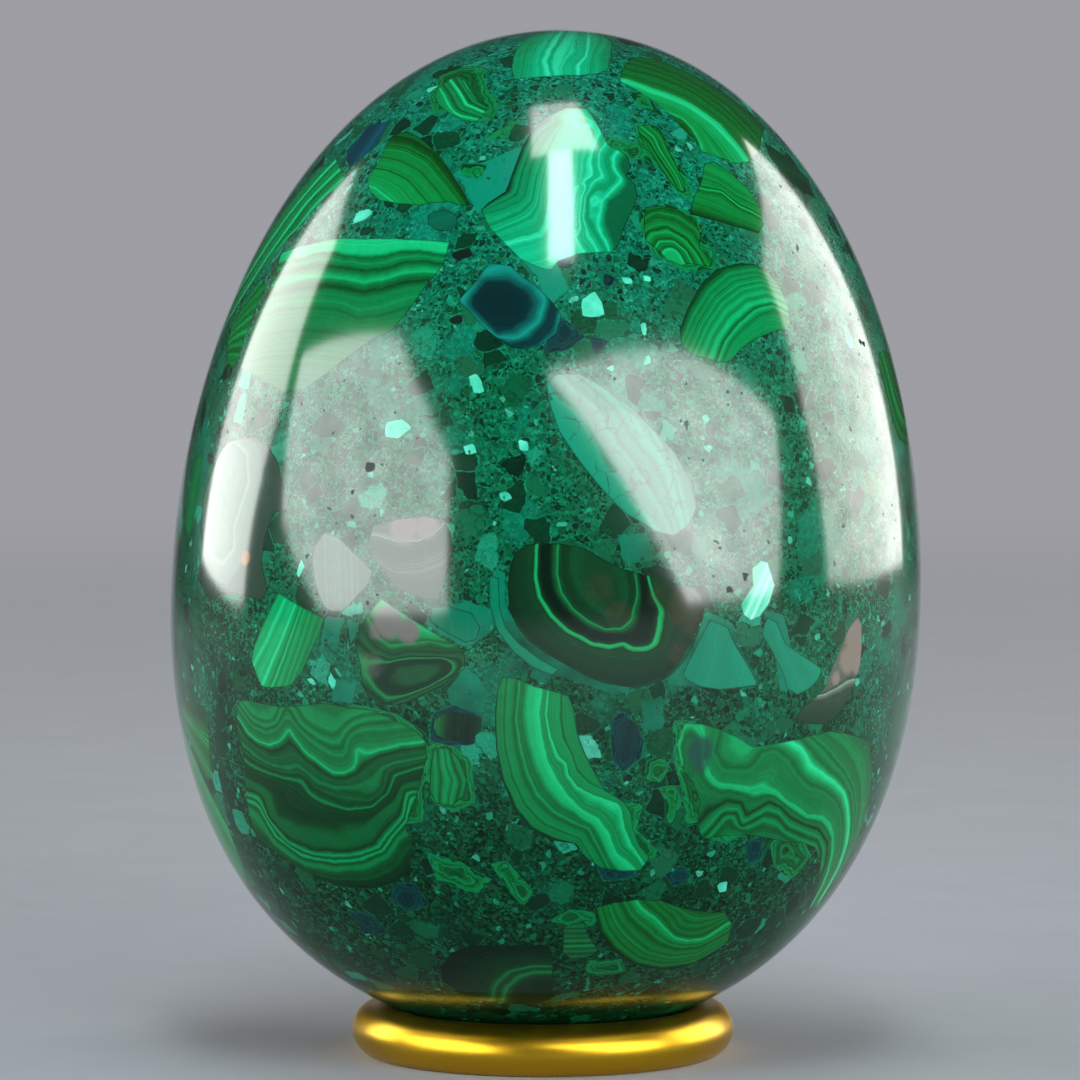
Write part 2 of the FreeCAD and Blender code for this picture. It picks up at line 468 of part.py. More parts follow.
def make_ring(document):
    """Revolve the ring's round section, cut off level at its foot."""
    body = document.addObject("PartDesign::Body", "ring_stand")
    planes = [item for item in body.Origin.OriginFeatures if item.Role == "XZ_Plane"]
    sketch = body.newObject("Sketcher::SketchObject", "ring_section")
    sketch.AttachmentSupport = [(planes[0], "")]
    sketch.MapMode = "FlatFace"
    values = read_sizes(document.sizes)
    section = values["ring_section_diameter"] / 2
    drop = section - values["foot_flat_depth"]
    middle = values["ring_outer_diameter"] / 2 - section
    half_foot = math.sqrt(section * section - drop * drop)
    start = math.atan2(-drop, half_foot)
    circle = Part.Circle(FreeCAD.Vector(middle, drop, 0), FreeCAD.Vector(0, 0, 1), section)
    sketch.addGeometry(Part.ArcOfCircle(circle, start, math.pi - start))
    foot = Part.LineSegment(
        FreeCAD.Vector(middle - half_foot, 0, 0), FreeCAD.Vector(middle + half_foot, 0, 0)
    )
    sketch.addGeometry(foot)
    sketch.addConstraint(Sketcher.Constraint("Coincident", 0, 2, 1, 1))
    sketch.addConstraint(Sketcher.Constraint("Coincident", 1, 2, 0, 1))
    sketch.addConstraint(Sketcher.Constraint("PointOnObject", 1, 1, -1))
    sketch.addConstraint(Sketcher.Constraint("PointOnObject", 1, 2, -1))
    radius = sketch.addConstraint(Sketcher.Constraint("Radius", 0, section))
    across = sketch.addConstraint(Sketcher.Constraint("DistanceX", -1, 1, 0, 3, middle))
    height = sketch.addConstraint(Sketcher.Constraint("DistanceY", -1, 1, 0, 3, drop))
    sketch.setExpression("Constraints[%d]" % radius, "sizes.ring_section_diameter / 2")
    sketch.setExpression(
        "Constraints[%d]" % across,
        "(sizes.ring_outer_diameter - sizes.ring_section_diameter) / 2",
    )
    sketch.setExpression(
        "Constraints[%d]" % height,
        "sizes.ring_section_diameter / 2 - sizes.foot_flat_depth",
    )
    sketch.Visibility = False
    turn = body.newObject("PartDesign::Revolution", "ring_turn")
    turn.Profile = sketch
    turn.ReferenceAxis = (sketch, ["V_Axis"])
    turn.Angle = 360
    body.Tip = turn
    body.Placement = FreeCAD.Placement()
    return body


def draw_outline(document, name, shares, reach):
    """Draw a closed outline with every corner bound to the cone's reach."""
    sketch = document.addObject("Sketcher::SketchObject", name + "_outline")
    corners = [FreeCAD.Vector(reach * side, reach * up, 0) for side, up in shares]
    count = len(corners)
    lines = [
        Part.LineSegment(corners[index], corners[(index + 1) % count])
        for index in range(count)
    ]
    sketch.addGeometry(lines, False)
    sketch.addConstraint([
        Sketcher.Constraint("Coincident", index, 2, (index + 1) % count, 1)
        for index in range(count)
    ])
    for index, (side, up) in enumerate(shares):
        across = Sketcher.Constraint("DistanceX", -1, 1, index, 1, reach * side)
        height = Sketcher.Constraint("DistanceY", -1, 1, index, 1, reach * up)
        first = sketch.addConstraint([across, height])[0]
        sketch.setExpression("Constraints[%d]" % first, "sizes.cone_reach * %s" % side)
        sketch.setExpression("Constraints[%d]" % (first + 1), "sizes.cone_reach * %s" % up)
    sketch.setExpression("Placement.Base.z", "sizes.cone_reach")
    return sketch


def view_rotation(view):
    """Return the turn that carries +Z onto the view's outward direction."""
    azimuth, tilt = VIEW_ANGLES[view]
    upright = FreeCAD.Rotation(FreeCAD.Vector(1, 0, 0), 90 - tilt)
    return FreeCAD.Rotation(FreeCAD.Vector(0, 0, 1), azimuth).multiply(upright)


def make_cutter(document, name, entry, apex, cores, reach):
    """Make a stone's cutter: a cone to the egg's centre, less a core."""
    view, depth, shares = entry
    sketch = draw_outline(document, name, shares, reach)
    cone = document.addObject("Part::Loft", name + "_cone")
    cone.Sections = [apex, sketch]
    cone.Solid = True
    cone.Ruled = True
    cone.Placement = FreeCAD.Placement(FreeCAD.Vector(0, 0, 0), view_rotation(view))
    cutter = document.addObject("Part::Cut", name + "_cutter")
    cutter.Base = cone
    cutter.Tool = cores[depth]
    return cutter


def set_down(item):
    """Bind a finished egg part's placement to the lean and the resting place."""
    upright = FreeCAD.Rotation(FreeCAD.Vector(0, 1, 0), SIZES["egg_lean"])
    item.Placement = FreeCAD.Placement(FreeCAD.Vector(0, 0, 0), upright)
    item.setExpression("Placement.Rotation.Angle", "sizes.egg_lean")
    item.setExpression("Placement.Base.x", "sizes.egg_shift")
    item.setExpression("Placement.Base.z", "sizes.egg_rise")


def make_egg_parts(document, values):
    """Cut the stones out of one egg and their pockets out of another."""
    blank = make_egg(document, values, "egg_blank", 0)
    cores = {
        "thick": make_egg(document, values, "thick_core", values["thick_stone_depth"]),
        "thin": make_egg(document, values, "thin_core", values["thin_stone_depth"]),
    }
    apex = document.addObject("Part::Vertex", "egg_centre")
    cutters = []
    stones = []
    for name, entry in OUTLINE_SHARES.items():
        cutter = make_cutter(document, name, entry, apex, cores, values["cone_reach"])
        stone = document.addObject("Part::Common", name)
        stone.Base = blank
        stone.Tool = cutter
        set_down(stone)
        cutters.append(cutter)
        stones.append(stone)
    pockets = document.addObject("Part::MultiFuse", "pockets")
    pockets.Shapes = cutters
    matrix = document.addObject("Part::Cut", "egg_matrix")
    matrix.Base = blank
    matrix.Tool = pockets
    set_down(matrix)
    return [matrix] + stones


def check_objects(document, parts):
    """Stop on any failed object and on any part that is not one valid solid."""
    for item in document.Objects:
        if "Invalid" in item.State or "Error" in item.State:
            raise RuntimeError("%s failed to compute: %s" % (item.Name, item.State))
    for part in parts:
        shape = part.Shape
        if shape.isNull() or not shape.isValid() or len(shape.Solids) != 1:
            raise RuntimeError("%s is not one valid solid" % part.Label)


def main():
    """Build the ring and the egg and write each part as its own file."""
    document = FreeCAD.newDocument("egg_on_ring")
    sheet = make_sheet(document)
    shift, rise = settle_egg(read_sizes(sheet))
    rows = {alias: row for row, alias in enumerate(SIZES, start=1)}
    sheet.set("B%d" % rows["egg_shift"], str(shift))
    sheet.set("B%d" % rows["egg_rise"], str(rise))
    document.recompute()
    parts = [make_ring(document)] + make_egg_parts(document, read_sizes(sheet))
    document.recompute()
    check_objects(document, parts)
    os.makedirs("parts", exist_ok=True)
    for part in parts:
        part.Label = part.Name
        part.Shape.exportStep("parts/%s.step" % part.Label)
        print("%s %.3f mm3" % (part.Label, part.Shape.Volume))
    print("egg_shift %.4f egg_rise %.4f" % (shift, rise))


main()
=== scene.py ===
"""Looks of a polished breccia egg that stands on a plain brass ring.

The egg is a matrix of bonded grit with banded stones set into it.  Every stone
keeps its own solid.  Its outside is made fine and laid on the egg's true form,
and it carries a band attribute that follows lines drawn on that stone.
Sizes are in millimetres, except where a docstring names metres.  The numbers
of the drawn tables, whose names end in SHARES, are thousandths of a share.
"""

import json
import logging
import math
from collections.abc import Callable
from dataclasses import dataclass
from enum import Enum
from functools import cached_property, partial
from typing import Any

import bmesh
import bpy
import numpy as np
from mathutils import Matrix, Vector


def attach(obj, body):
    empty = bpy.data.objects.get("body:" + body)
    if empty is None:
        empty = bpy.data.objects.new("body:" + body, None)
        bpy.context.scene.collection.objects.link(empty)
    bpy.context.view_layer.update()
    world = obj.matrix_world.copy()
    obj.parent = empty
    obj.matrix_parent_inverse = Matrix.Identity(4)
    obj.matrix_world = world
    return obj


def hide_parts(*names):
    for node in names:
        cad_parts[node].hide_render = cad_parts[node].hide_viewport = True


LOG = logging.getLogger("egg_on_ring")
MM = 0.001
PER_SHARE = 1000

Point = tuple[float, float]
Colour = tuple[float, float, float]
Stops = tuple[tuple[float, Any], ...]

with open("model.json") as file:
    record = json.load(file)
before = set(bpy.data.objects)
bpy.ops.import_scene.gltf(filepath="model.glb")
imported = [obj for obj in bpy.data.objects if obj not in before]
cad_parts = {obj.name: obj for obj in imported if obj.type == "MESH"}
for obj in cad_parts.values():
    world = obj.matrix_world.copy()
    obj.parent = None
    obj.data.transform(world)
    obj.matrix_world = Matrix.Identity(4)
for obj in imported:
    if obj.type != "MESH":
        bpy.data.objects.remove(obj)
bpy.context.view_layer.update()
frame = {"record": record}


def direction(azimuth: float, tilt: float) -> np.ndarray:
    """Work out a direction from its angles.

    Args:
        azimuth: degrees round from the camera's side, growing to the right.
        tilt: degrees up from level.

    Returns:
        The direction, one unit long.
    """
    turn, lift = math.radians(azimuth), math.radians(tilt)
    return np.array([
        math.sin(turn) * math.cos(lift), -math.cos(turn) * math.cos(lift), math.sin(lift)])


class View(Enum):
    """Directions the stones are drawn along, by azimuth and tilt in degrees."""

    FRONT = (0, 0)
    UPPER = (0, 50)
    LOWER = (0, -50)
    LEFT = (-60, 0)
    RIGHT = (60, 0)
    UPPER_LEFT = (-40, 30)
    UPPER_RIGHT = (40, 30)
    LOWER_LEFT = (-40, -30)
    LOWER_RIGHT = (40, -30)
    REAR = (180, 0)
    REAR_UPPER = (180, 50)
    REAR_LOWER = (180, -50)
    REAR_LEFT = (-120, 0)
    REAR_RIGHT = (120, 0)
    REAR_LOWER_RIGHT = (115, -45)
    REAR_UPPER_LEFT = (-115, 45)
    REAR_UPPER_RIGHT = (115, 45)

    def axes(self) -> tuple[np.ndarray, np.ndarray, np.ndarray]:
        """Work out the view's directions in the egg's frame.

        Returns:
            The outward, sideways and upward directions.
        """
        azimuth = math.radians(self.value[0])
        out = direction(*self.value)
        side = np.array([math.cos(azimuth), math.sin(azimuth), 0.0])
        return out, side, np.cross(out, side)


class Palette(Enum):
    """Colours from dark to light, as linear red, green and blue.

    The first ones run from a stone's darkest band to its lightest.  The last
    ones are the grit's, from its darkest grain or its foot upwards.
    """

    EMERALD = (
        (0.00, (0.0005, 0.011, 0.004)),
        (0.22, (0.0007, 0.040, 0.009)),
        (0.42, (0.0008, 0.105, 0.025)),
        (0.62, (0.0010, 0.209, 0.056)),
        (0.80, (0.0018, 0.342, 0.112)),
        (1.00, (0.0135, 0.593, 0.252)),
    )
    TURQUOISE = (
        (0.00, (0.0005, 0.012, 0.007)),
        (0.22, (0.0005, 0.044, 0.018)),
        (0.42, (0.0007, 0.115, 0.041)),
        (0.62, (0.0009, 0.240, 0.089)),
        (0.80, (0.0023, 0.393, 0.187)),
        (1.00, (0.0270, 0.619, 0.340)),
    )
    OLIVE = (
        (0.00, (0.0014, 0.010, 0.003)),
        (0.22, (0.0016, 0.042, 0.005)),
        (0.42, (0.0014, 0.104, 0.015)),
        (0.62, (0.0014, 0.209, 0.043)),
        (0.80, (0.0027, 0.333, 0.106)),
        (1.00, (0.0135, 0.504, 0.198)),
    )
    TEAL = (
        (0.00, (0.0010, 0.017, 0.014)),
        (0.30, (0.0010, 0.080, 0.045)),
        (0.60, (0.0010, 0.160, 0.082)),
        (1.00, (0.0040, 0.270, 0.160)),
    )
    NIGHT = (
        (0.00, (0.0010, 0.0140, 0.0150)),
        (0.35, (0.0012, 0.033, 0.034)),
        (0.60, (0.0015, 0.090, 0.076)),
        (0.80, (0.0030, 0.230, 0.180)),
        (1.00, (0.0200, 0.480, 0.420)),
    )
    NAVY = (
        (0.00, (0.0010, 0.0087, 0.014)),
        (0.50, (0.0030, 0.043, 0.072)),
        (1.00, (0.0060, 0.160, 0.160)),
    )
    MOSS = (
        (0.00, (0.0012, 0.0087, 0.0043)),
        (0.25, (0.0030, 0.035, 0.012)),
        (0.50, (0.0050, 0.087, 0.026)),
        (0.75, (0.0030, 0.232, 0.058)),
        (1.00, (0.0080, 0.462, 0.160)),
    )
    SHELL = (
        (0.00, (0.0050, 0.030, 0.017)),
        (0.35, (0.0300, 0.062, 0.043)),
        (0.65, (0.0700, 0.120, 0.090)),
        (1.00, (0.1500, 0.260, 0.200)),
    )
    MINT = (
        (0.00, (0.0040, 0.145, 0.072)),
        (0.50, (0.0480, 0.532, 0.319)),
        (1.00, (0.3600, 0.920, 0.725)),
    )
    UMBER = (
        (0.00, (0.0030, 0.012, 0.0072)),
        (0.30, (0.0120, 0.043, 0.020)),
        (0.55, (0.0720, 0.090, 0.065)),
        (0.80, (0.1080, 0.189, 0.131)),
        (1.00, (0.1800, 0.406, 0.290)),
    )
    GRIT_LOW = (
        (0.00, (0.0005, 0.008, 0.003)), (0.35, (0.0005, 0.022, 0.007)),
        (0.70, (0.0010, 0.050, 0.016)), (0.95, (0.0020, 0.110, 0.042)),
        (1.00, (0.0150, 0.260, 0.140)),
    )
    GRIT_GREEN = (
        (0.00, (0.0005, 0.024, 0.009)), (0.30, (0.0005, 0.072, 0.028)),
        (0.70, (0.0010, 0.128, 0.056)), (0.95, (0.0030, 0.215, 0.105)),
        (1.00, (0.0250, 0.430, 0.270)),
    )
    GRIT_TEAL = (
        (0.00, (0.0005, 0.050, 0.028)), (0.30, (0.0010, 0.112, 0.064)),
        (0.70, (0.0020, 0.180, 0.112)), (0.95, (0.0080, 0.285, 0.190)),
        (1.00, (0.0550, 0.520, 0.380)),
    )
    CRUMB = (
        (0.00, (0.0005, 0.010, 0.005)), (0.30, (0.0010, 0.036, 0.012)),
        (0.55, (0.0010, 0.080, 0.028)), (0.78, (0.0020, 0.150, 0.062)),
        (0.84, (0.0100, 0.044, 0.013)), (0.90, (0.0030, 0.210, 0.105)),
        (0.97, (0.0120, 0.320, 0.190)), (1.00, (0.0700, 0.500, 0.350)),
    )
    BINDER = (
        (0.00, (0.0005, 0.022, 0.009)), (0.28, (0.0010, 0.155, 0.086)),
        (0.65, (0.0010, 0.200, 0.122)),
    )
    MINT_CHIP = (
        (0.20, (0.0100, 0.420, 0.250)),
        (0.80, (0.1200, 0.780, 0.560)),
    )


@dataclass(frozen=True)
class RingForm:
    """The sizes of the ring, whose round section is worn flat at the foot."""

    width: float = 41.0
    section: float = 5.6
    foot: float = 0.3

    @property
    def half(self) -> float:
        """Half the section's thickness."""
        return self.section / 2

    @property
    def middle(self) -> float:
        """The section's middle, outwards from the ring's axis."""
        return self.width / 2 - self.half

    @property
    def level(self) -> float:
        """The section's middle, upwards from the table."""
        return self.half - self.foot


@dataclass(frozen=True)
class EggForm:
    """The egg's outside, leaning to the right on its ring.

    Lay_on leaves its points a hair within the true form, so that the finished
    egg stays inside the box of the solid one.
    """

    width: float = 80.3
    height: float = 107.8
    taper: float = 0.105
    fullness: float = 0.086
    lean: float = 2.6
    clearance: float = 0.2
    within: float = 0.99975
    outline_steps: int = 900
    settle_rounds: int = 60
    lay_rounds: int = 6
    ring: RingForm = RingForm()

    def spread(self, rise: Any) -> Any:
        """Return how the girth changes with the share of the way up from the middle."""
        return 1 - self.taper * rise + self.fullness * rise * rise

    @cached_property
    def half_width(self) -> float:
        """The width's half over the outline's widest factor."""
        angles = np.linspace(-math.pi / 2, math.pi / 2, self.outline_steps + 1)
        widest = np.cos(angles) * self.spread(np.sin(angles))
        return self.width / 2 / float(widest.max())

    @cached_property
    def turn(self) -> np.ndarray:
        """The lean as a matrix that carries the upright egg to its place."""
        lean = math.radians(self.lean)
        return np.array([
            [math.cos(lean), 0, math.sin(lean)],
            [0, 1, 0],
            [-math.sin(lean), 0, math.cos(lean)],
        ])

    @cached_property
    def centre(self) -> np.ndarray:
        """The centre's place once the leaning egg has settled evenly on its ring."""
        rise = np.sin(np.linspace(-math.pi / 2, 0, self.outline_steps + 1))
        girth = self.half_width * np.sqrt(1 - rise * rise) * self.spread(rise)
        half = np.column_stack([girth, 0 * rise, rise * self.height / 2])
        outline = np.vstack([half, half * (-1, 1, 1)]) @ self.turn.T
        place = np.array([0.0, 0.0, self.ring.level + self.height / 2])
        for _ in range(self.settle_rounds):
            gaps = []
            for side in (-1, 1):
                away = outline + place - (side * self.ring.middle, 0, self.ring.level)
                gaps.append(np.linalg.norm(away, axis=1).min() - self.ring.half)
            left, right = gaps
            place += (right - left, 0, self.clearance - (left + right) / 2)
        return place

    def to_egg(self, points: np.ndarray) -> np.ndarray:
        """Carry points in the scene, in metres, into the upright egg's frame."""
        return (points / MM - self.centre) @ self.turn

    def to_scene(self, points: np.ndarray) -> np.ndarray:
        """Carry points from the upright egg's frame to the scene, in metres."""
        return (points @ self.turn.T + self.centre) * MM

    def level(self, points: np.ndarray) -> np.ndarray:
        """Work out how far out points lie.

        Args:
            points: places in the egg's own frame.

        Returns:
            For each, a number below 1 inside the egg and above 1 outside it.
        """
        rise = points[:, 2] / (self.height / 2)
        girth = self.half_width * self.spread(rise)
        return (points[:, 0] ** 2 + points[:, 1] ** 2) / girth ** 2 + rise ** 2

    def lay_on(self, points: np.ndarray) -> np.ndarray:
        """Move points along their rays from the centre until they lie on the egg.

        Args:
            points: places in the egg's own frame.

        Returns:
            The places on the egg's outside.
        """
        laid = points.copy()
        for _ in range(self.lay_rounds):
            laid /= np.sqrt(self.level(laid))[:, None]
        return laid * self.within

    def normals(self, points: np.ndarray) -> np.ndarray:
        """Work out the egg's outward directions.

        Args:
            points: places in the egg's own frame.

        Returns:
            One direction for each, in the same frame.
        """
        half = self.height / 2
        rise = points[:, 2] / half
        girth = self.half_width * self.spread(rise)
        slope = 2 * self.fullness * rise - self.taper
        reach = self.half_width / half
        up = reach * (rise * girth / self.half_width - (1 - rise ** 2) * slope)
        found = np.column_stack([points[:, 0] / girth, points[:, 1] / girth, up])
        return found / np.linalg.norm(found, axis=1)[:, None]


EGG = EggForm()


# Ways of banding that several stones have: the share of the way across, and the
# tone, from the palette's darkest at 0 to its lightest at 1000
BOLD_TONE_SHARES = (
    (0, 150), (60, 550), (160, 620), (200, 900), (240, 580), (320, 340), (360, 600), (460, 500),
    (500, 860), (550, 940), (580, 500), (660, 300), (700, 560), (800, 500), (840, 780), (880, 420),
    (1000, 500),
)
FINE_TONE_SHARES = (
    (0, 120), (60, 450), (120, 600), (170, 360), (230, 600), (300, 400), (360, 640), (420, 380),
    (480, 660), (550, 420), (620, 720), (670, 400), (740, 600), (810, 360), (880, 580), (1000, 400),
)
DARK_TONE_SHARES = (
    (0, 300), (100, 140), (300, 200), (420, 280), (460, 750), (500, 800), (540, 100), (660, 60),
    (720, 500), (760, 250), (880, 120), (1000, 200),
)
PLAIN_TONE_SHARES = (
    (0, 660), (300, 740), (600, 700), (1000, 780),
)


@dataclass(frozen=True)
class Bands:
    """How one stone is banded.

    Lines are drawn on the stone in the shares of its view, each with its
    level.  Tones say how light the stone is at each level.  Spots are stained
    places: sideways and upward shares, reach and strength.
    """

    view: View
    palette: Palette
    tones: tuple[Point, ...]
    lines: tuple[tuple[float, tuple[Point, ...]], ...]
    streaks: float = 34.0
    contrast: float = 0.16
    wobble: float = 0.012
    stain: Colour = (0.2, 0.18, 0.15)
    spots: tuple[tuple[float, float, float, float], ...] = ()
    cracks: float = 0.0

    def stops(self) -> Stops:
        """Return the tones as a ramp's stops."""
        return tuple((level / PER_SHARE, tone / PER_SHARE) for level, tone in self.tones)


